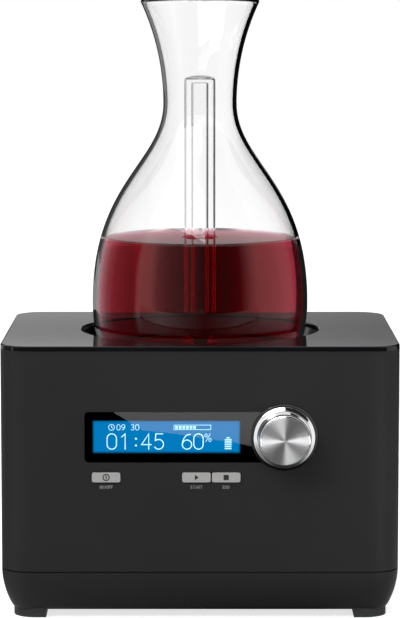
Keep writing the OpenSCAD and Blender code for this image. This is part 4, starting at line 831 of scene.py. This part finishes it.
def add_floor():
    """A floor that is as white as the world and still takes a shadow."""
    material, tree, shader = new_material("pale_floor")
    link = tree.links.new
    shader.inputs["Base Color"].default_value = (0.66, 0.66, 0.66, 1)
    shader.inputs["Roughness"].default_value = 0.9
    shader.inputs["Specular IOR Level"].default_value = 0.0
    glow = add_node(tree, "ShaderNodeEmission", Color=(1, 1, 1, 1), Strength=0.72)
    both = tree.nodes.new("ShaderNodeAddShader")
    link(shader.outputs["BSDF"], both.inputs[0])
    link(glow.outputs["Emission"], both.inputs[1])
    shown = mix_shaders(tree, ray_mask(tree), shader.outputs["BSDF"], both.outputs["Shader"])
    away = add_node(tree, "ShaderNodeVectorMath", operation="NORMALIZE")
    link(tree.nodes.new("ShaderNodeNewGeometry").outputs["Position"], away.inputs[0])
    surface = with_edges(tree, shown, "ShaderNodeEmission", away.outputs["Vector"])
    link(surface, tree.nodes["Material Output"].inputs["Surface"])
    bm = bmesh.new()
    corners = [(-1, -1), (1, -1), (1, 1), (-1, 1)]
    bm.faces.new([bm.verts.new((x * FLOOR_SIZE, y * FLOOR_SIZE, 0)) for x, y in corners])
    add_mesh("floor", bm, None, material, smooth=False)


def stage_glow(name, colour_from, strength=1.0, slanting=False):
    """A material that glows by itself, with the colour that colour_from(tree) gives. If slanting, it
    lets through the rays that meet it squarely, as a louvre does."""
    material, tree, shader = new_material(name)
    tree.nodes.remove(shader)
    glow = add_node(tree, "ShaderNodeEmission", Strength=strength)
    tree.links.new(colour_from(tree), glow.inputs["Color"])
    shown = glow.outputs["Emission"]
    if slanting:
        facing = tree.nodes.new("ShaderNodeLayerWeight").outputs["Facing"]
        through = tree.nodes.new("ShaderNodeBsdfTransparent").outputs["BSDF"]
        shown = mix_shaders(tree, calc(tree, "GREATER_THAN", facing, LOUVRE), through, shown)
    tree.links.new(shown, tree.nodes["Material Output"].inputs["Surface"])
    return material


def seen_only_in(card, gloss=False, glass=False):
    """Makes a card show in gloss or through glass alone, as a studio's flags and softboxes do."""
    card.visible_camera = False
    card.visible_diffuse = False
    card.visible_shadow = False
    card.visible_volume_scatter = False
    card.visible_glossy = gloss
    card.visible_transmission = glass


def even(shade):
    """One shade all over a card."""
    return {"X": [(0.0, shade), (1.0, shade)]}


def shade_of(tree, shades):
    """The grey of a card. shades gives, by axis, stops of (place in metres, shade); two are multiplied."""
    total = None
    for axis, stops in shades.items():
        low, high = stops[0][0], stops[-1][0]
        place = map_range(tree, split_xyz(tree, object_point(tree))[axis], low, high)
        shade = ramp(tree, place, [((p - low) / (high - low), c) for p, c in stops])
        if total:
            both = add_node(tree, "ShaderNodeVectorMath", operation="MULTIPLY")
            tree.links.new(total, both.inputs[0])
            tree.links.new(shade, both.inputs[1])
            shade = both.outputs["Vector"]
        total = shade
    return total


def add_card(name, corners, shades, strength=1.0, **rays):
    """A flat card with its corners in metres and the shades of shade_of."""
    bm = bmesh.new()
    bm.faces.new([bm.verts.new(p) for p in corners])
    glow = stage_glow(name, lambda tree: shade_of(tree, shades), strength)
    seen_only_in(add_mesh(name, bm, None, glow, smooth=False), **rays)


def upright(x0, y0, x1, y1, z0, z1):
    return [(x0, y0, z0), (x1, y1, z0), (x1, y1, z1), (x0, y0, z1)]


def level(points, z):
    return [(x, y, z) for x, y in points]


def add_glass_card(name, outline, a0, a1, shade, slanting=False, steps=48):
    """A card bent round the glass, from angle a0 to a1 to the left of its right side, that only shows
    through it."""
    turns = [radians(a0 + (a1 - a0) * k / steps) for k in range(steps + 1)]
    bm = bmesh.new()
    rings = [[bm.verts.new(Vector(on_glass_axis(r, a, h)) * MM) for a in turns] for r, h in outline]
    for low, high in zip(rings, rings[1:]):
        for k in range(steps):
            bm.faces.new((low[k], low[k + 1], high[k + 1], high[k]))
    glow = stage_glow(name, lambda tree: shade_of(tree, even(shade)), slanting=slanting)
    seen_only_in(add_mesh(name, bm, None, glow, smooth=False), glass=True)


def add_surround(radius, top, stops):
    """A round wall of softboxes and flags and the floor in it, in mm: stops of (degrees to the right of
    the camera, shade)."""

    def colour(tree):
        turn = add_node(tree, "ShaderNodeMapping", Rotation=(0, 0, radians(90)))
        tree.links.new(object_point(tree), turn.inputs["Vector"])
        angle = add_node(tree, "ShaderNodeTexGradient", gradient_type="RADIAL")
        tree.links.new(turn.outputs["Vector"], angle.inputs["Vector"])
        return ramp(tree, angle.outputs["Fac"], [((a + 180) / 360, c) for a, c in stops])

    profile = [(0, 1.0), (radius, 1.0), (radius, top)]
    bm = lathe(profile, lambda r, a, h: (r * cos(a), r * sin(a), h), 96)
    seen_only_in(add_mesh("surround", bm, None, stage_glow("surround", colour), smooth=False), gloss=True)


def add_lamp(name, place, target, size, power):
    """A square lamp that no reflection shows."""
    data = bpy.data.lights.new(name, "AREA")
    data.shape = "RECTANGLE"
    data.size = data.size_y = size
    data.energy = power
    lamp = bpy.data.objects.new(name, data)
    lamp.location = place
    lamp.rotation_euler = (Vector(target) - Vector(place)).to_track_quat("-Z", "Y").to_euler()
    lamp.visible_glossy = False
    lamp.visible_transmission = False
    bpy.context.scene.collection.objects.link(lamp)


def add_camera(away, height, tilt, lens):
    """The camera fitted to the photograph, in metres from the glass's axis and degrees down."""
    data = bpy.data.cameras.new("photo_camera")
    data.sensor_fit = "VERTICAL"
    data.sensor_height = 36.0
    data.lens = lens
    data.clip_end = 50.0
    camera = bpy.data.objects.new("photo_camera", data)
    camera.location = (0, AXIS_Y * MM - away, height)
    camera.rotation_euler = (radians(90 - tilt), 0, 0)
    bpy.context.scene.collection.objects.link(camera)
    bpy.context.scene.camera = camera


set_world(ambient=0.55)
add_floor()
add_lamp("key", place=(-1.2, -1.4, 1.7), target=(0, 0, 0.12), size=1.2, power=26)
add_lamp("top", place=(0.1, 0.2, 1.9), target=(0, 0, 0.15), size=1.4, power=14)

# Cards that show in gloss: the room, what the plate and the lens mirror, the lights and flags of the knob

add_surround(2300.0, 2200.0, [
    (-180, 0.1), (-136, 0.9), (-118, 0.35), (-106, 0.12), (-74, 0.1), (-69, 1.0), (-54, 1.0), (-46, 0.5),
    (-35, 0.3), (-10, 0.16), (6, 0.07), (12, 0.035), (44, 0.04), (49, 0.3), (56, 0.65), (64, 1.0),
    (100, 0.9), (112, 0.6), (122, 0.1), (130, 0.0), (180, 0.0)])
add_card("back_card", upright(-0.6, 2.0, 0.6, 2.0, 0.3, 0.51),
         {"Z": [(0.385, 0.5), (0.397, 0.4), (0.41, 0.35), (0.43, 0.36), (0.445, 0.6), (0.46, 0.8),
                (0.5, 0.95)],
          "X": [(-0.3, 0.95), (-0.15, 0.9), (0.25, 0.56)]}, strength=1.2, gloss=True)
add_card("front_floor", level([(-1.6, -2.2), (1.6, -2.2), (0.9, -1.04), (-0.8, -1.04)], 0.002),
         {"X": [(-0.3, 0.25), (0.1, 0.22), (0.2, 0.04), (0.5, 0.04)]}, gloss=True)
add_card("lens_flag", level([(-0.2, -1.04), (0.3, -1.04), (0.3, -0.5), (-0.2, -0.5)], 0.003),
         even(0.0), gloss=True)
add_card("lens_glow", level([(-0.135, -1.037), (-0.086, -0.936), (-0.05, -0.805), (0.03, -0.734),
                             (0.103, -0.634), (0.35, -0.634), (0.35, -1.037)], 0.004),
         {"Y": [(-1.04, 1.0), (-0.8, 0.9), (-0.634, 0.5)]}, strength=2.3, gloss=True)
add_card("low_right", upright(0.26, -0.55, 0.48, -0.35, 0.01, 0.085), even(1.0), strength=11.0, gloss=True)
add_card("near_right", upright(0.095, -0.103, 0.095, -0.122, 0.08, 0.16), even(0.02), gloss=True)
add_card("high_left", upright(-1.2, -0.44, 0.15, -1.4, 0.95, 2.6), even(1.0), strength=7.0, gloss=True)
add_card("high_right", upright(0.15, -1.4, 1.4, -0.5, 0.95, 3.6), even(0.02), gloss=True)
add_card("neck_flag", [(-0.31, 1.975, 0.05), (-0.814, 1.746, 0.05), (-0.814, 1.746, 0.2),
                       (-1.286, 1.532, 0.2), (-1.286, 1.532, 1.2), (-0.31, 1.975, 1.2)],
         {"X": [(-1.286, 0.3), (-0.9, 0.02), (-0.31, 0.02)]}, gloss=True)
add_card("plate_flag", upright(-0.12, -0.0855, 0.12, -0.0855, 0.1655, 0.1835),
         {"Z": [(0.1655, 0.02), (0.17, 0.02), (0.171, 1.0), (0.1835, 1.0)],
          "X": [(-0.12, 0.5), (-0.05, 1.0), (-0.015, 0.3), (0.005, 0.07), (0.03, 0.3), (0.05, 0.6),
                (0.12, 0.7)]}, gloss=True)

# Cards that show through glass: the shades in the wine, the floor behind, the wine's dark edge, the well

add_card("wine_flag", upright(-0.1, 0.6, 0.09, 0.6, 0.085, 0.165),
         {"X": [(-0.1, 1.0), (-0.07, 0.75), (-0.0465, 0.64), (-0.0425, 1.0), (-0.034, 1.0), (-0.028, 0.6),
                (-0.02, 0.4), (-0.014, 0.33), (0.005, 0.2), (0.024, 0.3), (0.031, 0.6), (0.038, 1.0),
                (0.09, 1.0)]}, glass=True)
add_card("rear_floor", level([(-0.4, 0.3), (0.4, 0.3), (0.4, 1.4), (-0.4, 1.4)], 0.004),
         even(0.66), glass=True)
upper_corner = corner_outside()[12:]
around_wine = [(r + 1.0, h) for r, h in upper_corner + wall_outside()[1:] if h < WINE_LEVEL - 3]
add_glass_card("edge_flag", around_wine, -20, 27, 0.015, slanting=True)
add_glass_card("well_glow", [(69.0, 1.5), (69.0, 13.5)], 0, 360, 0.2)

add_camera(away=1.776, height=0.3855, tilt=6.54, lens=162.5)
bpy.context.scene.view_settings.view_transform = "Standard"
bpy.context.scene.cycles.max_bounces = BOUNCES
bpy.context.scene.cycles.transmission_bounces = BOUNCES
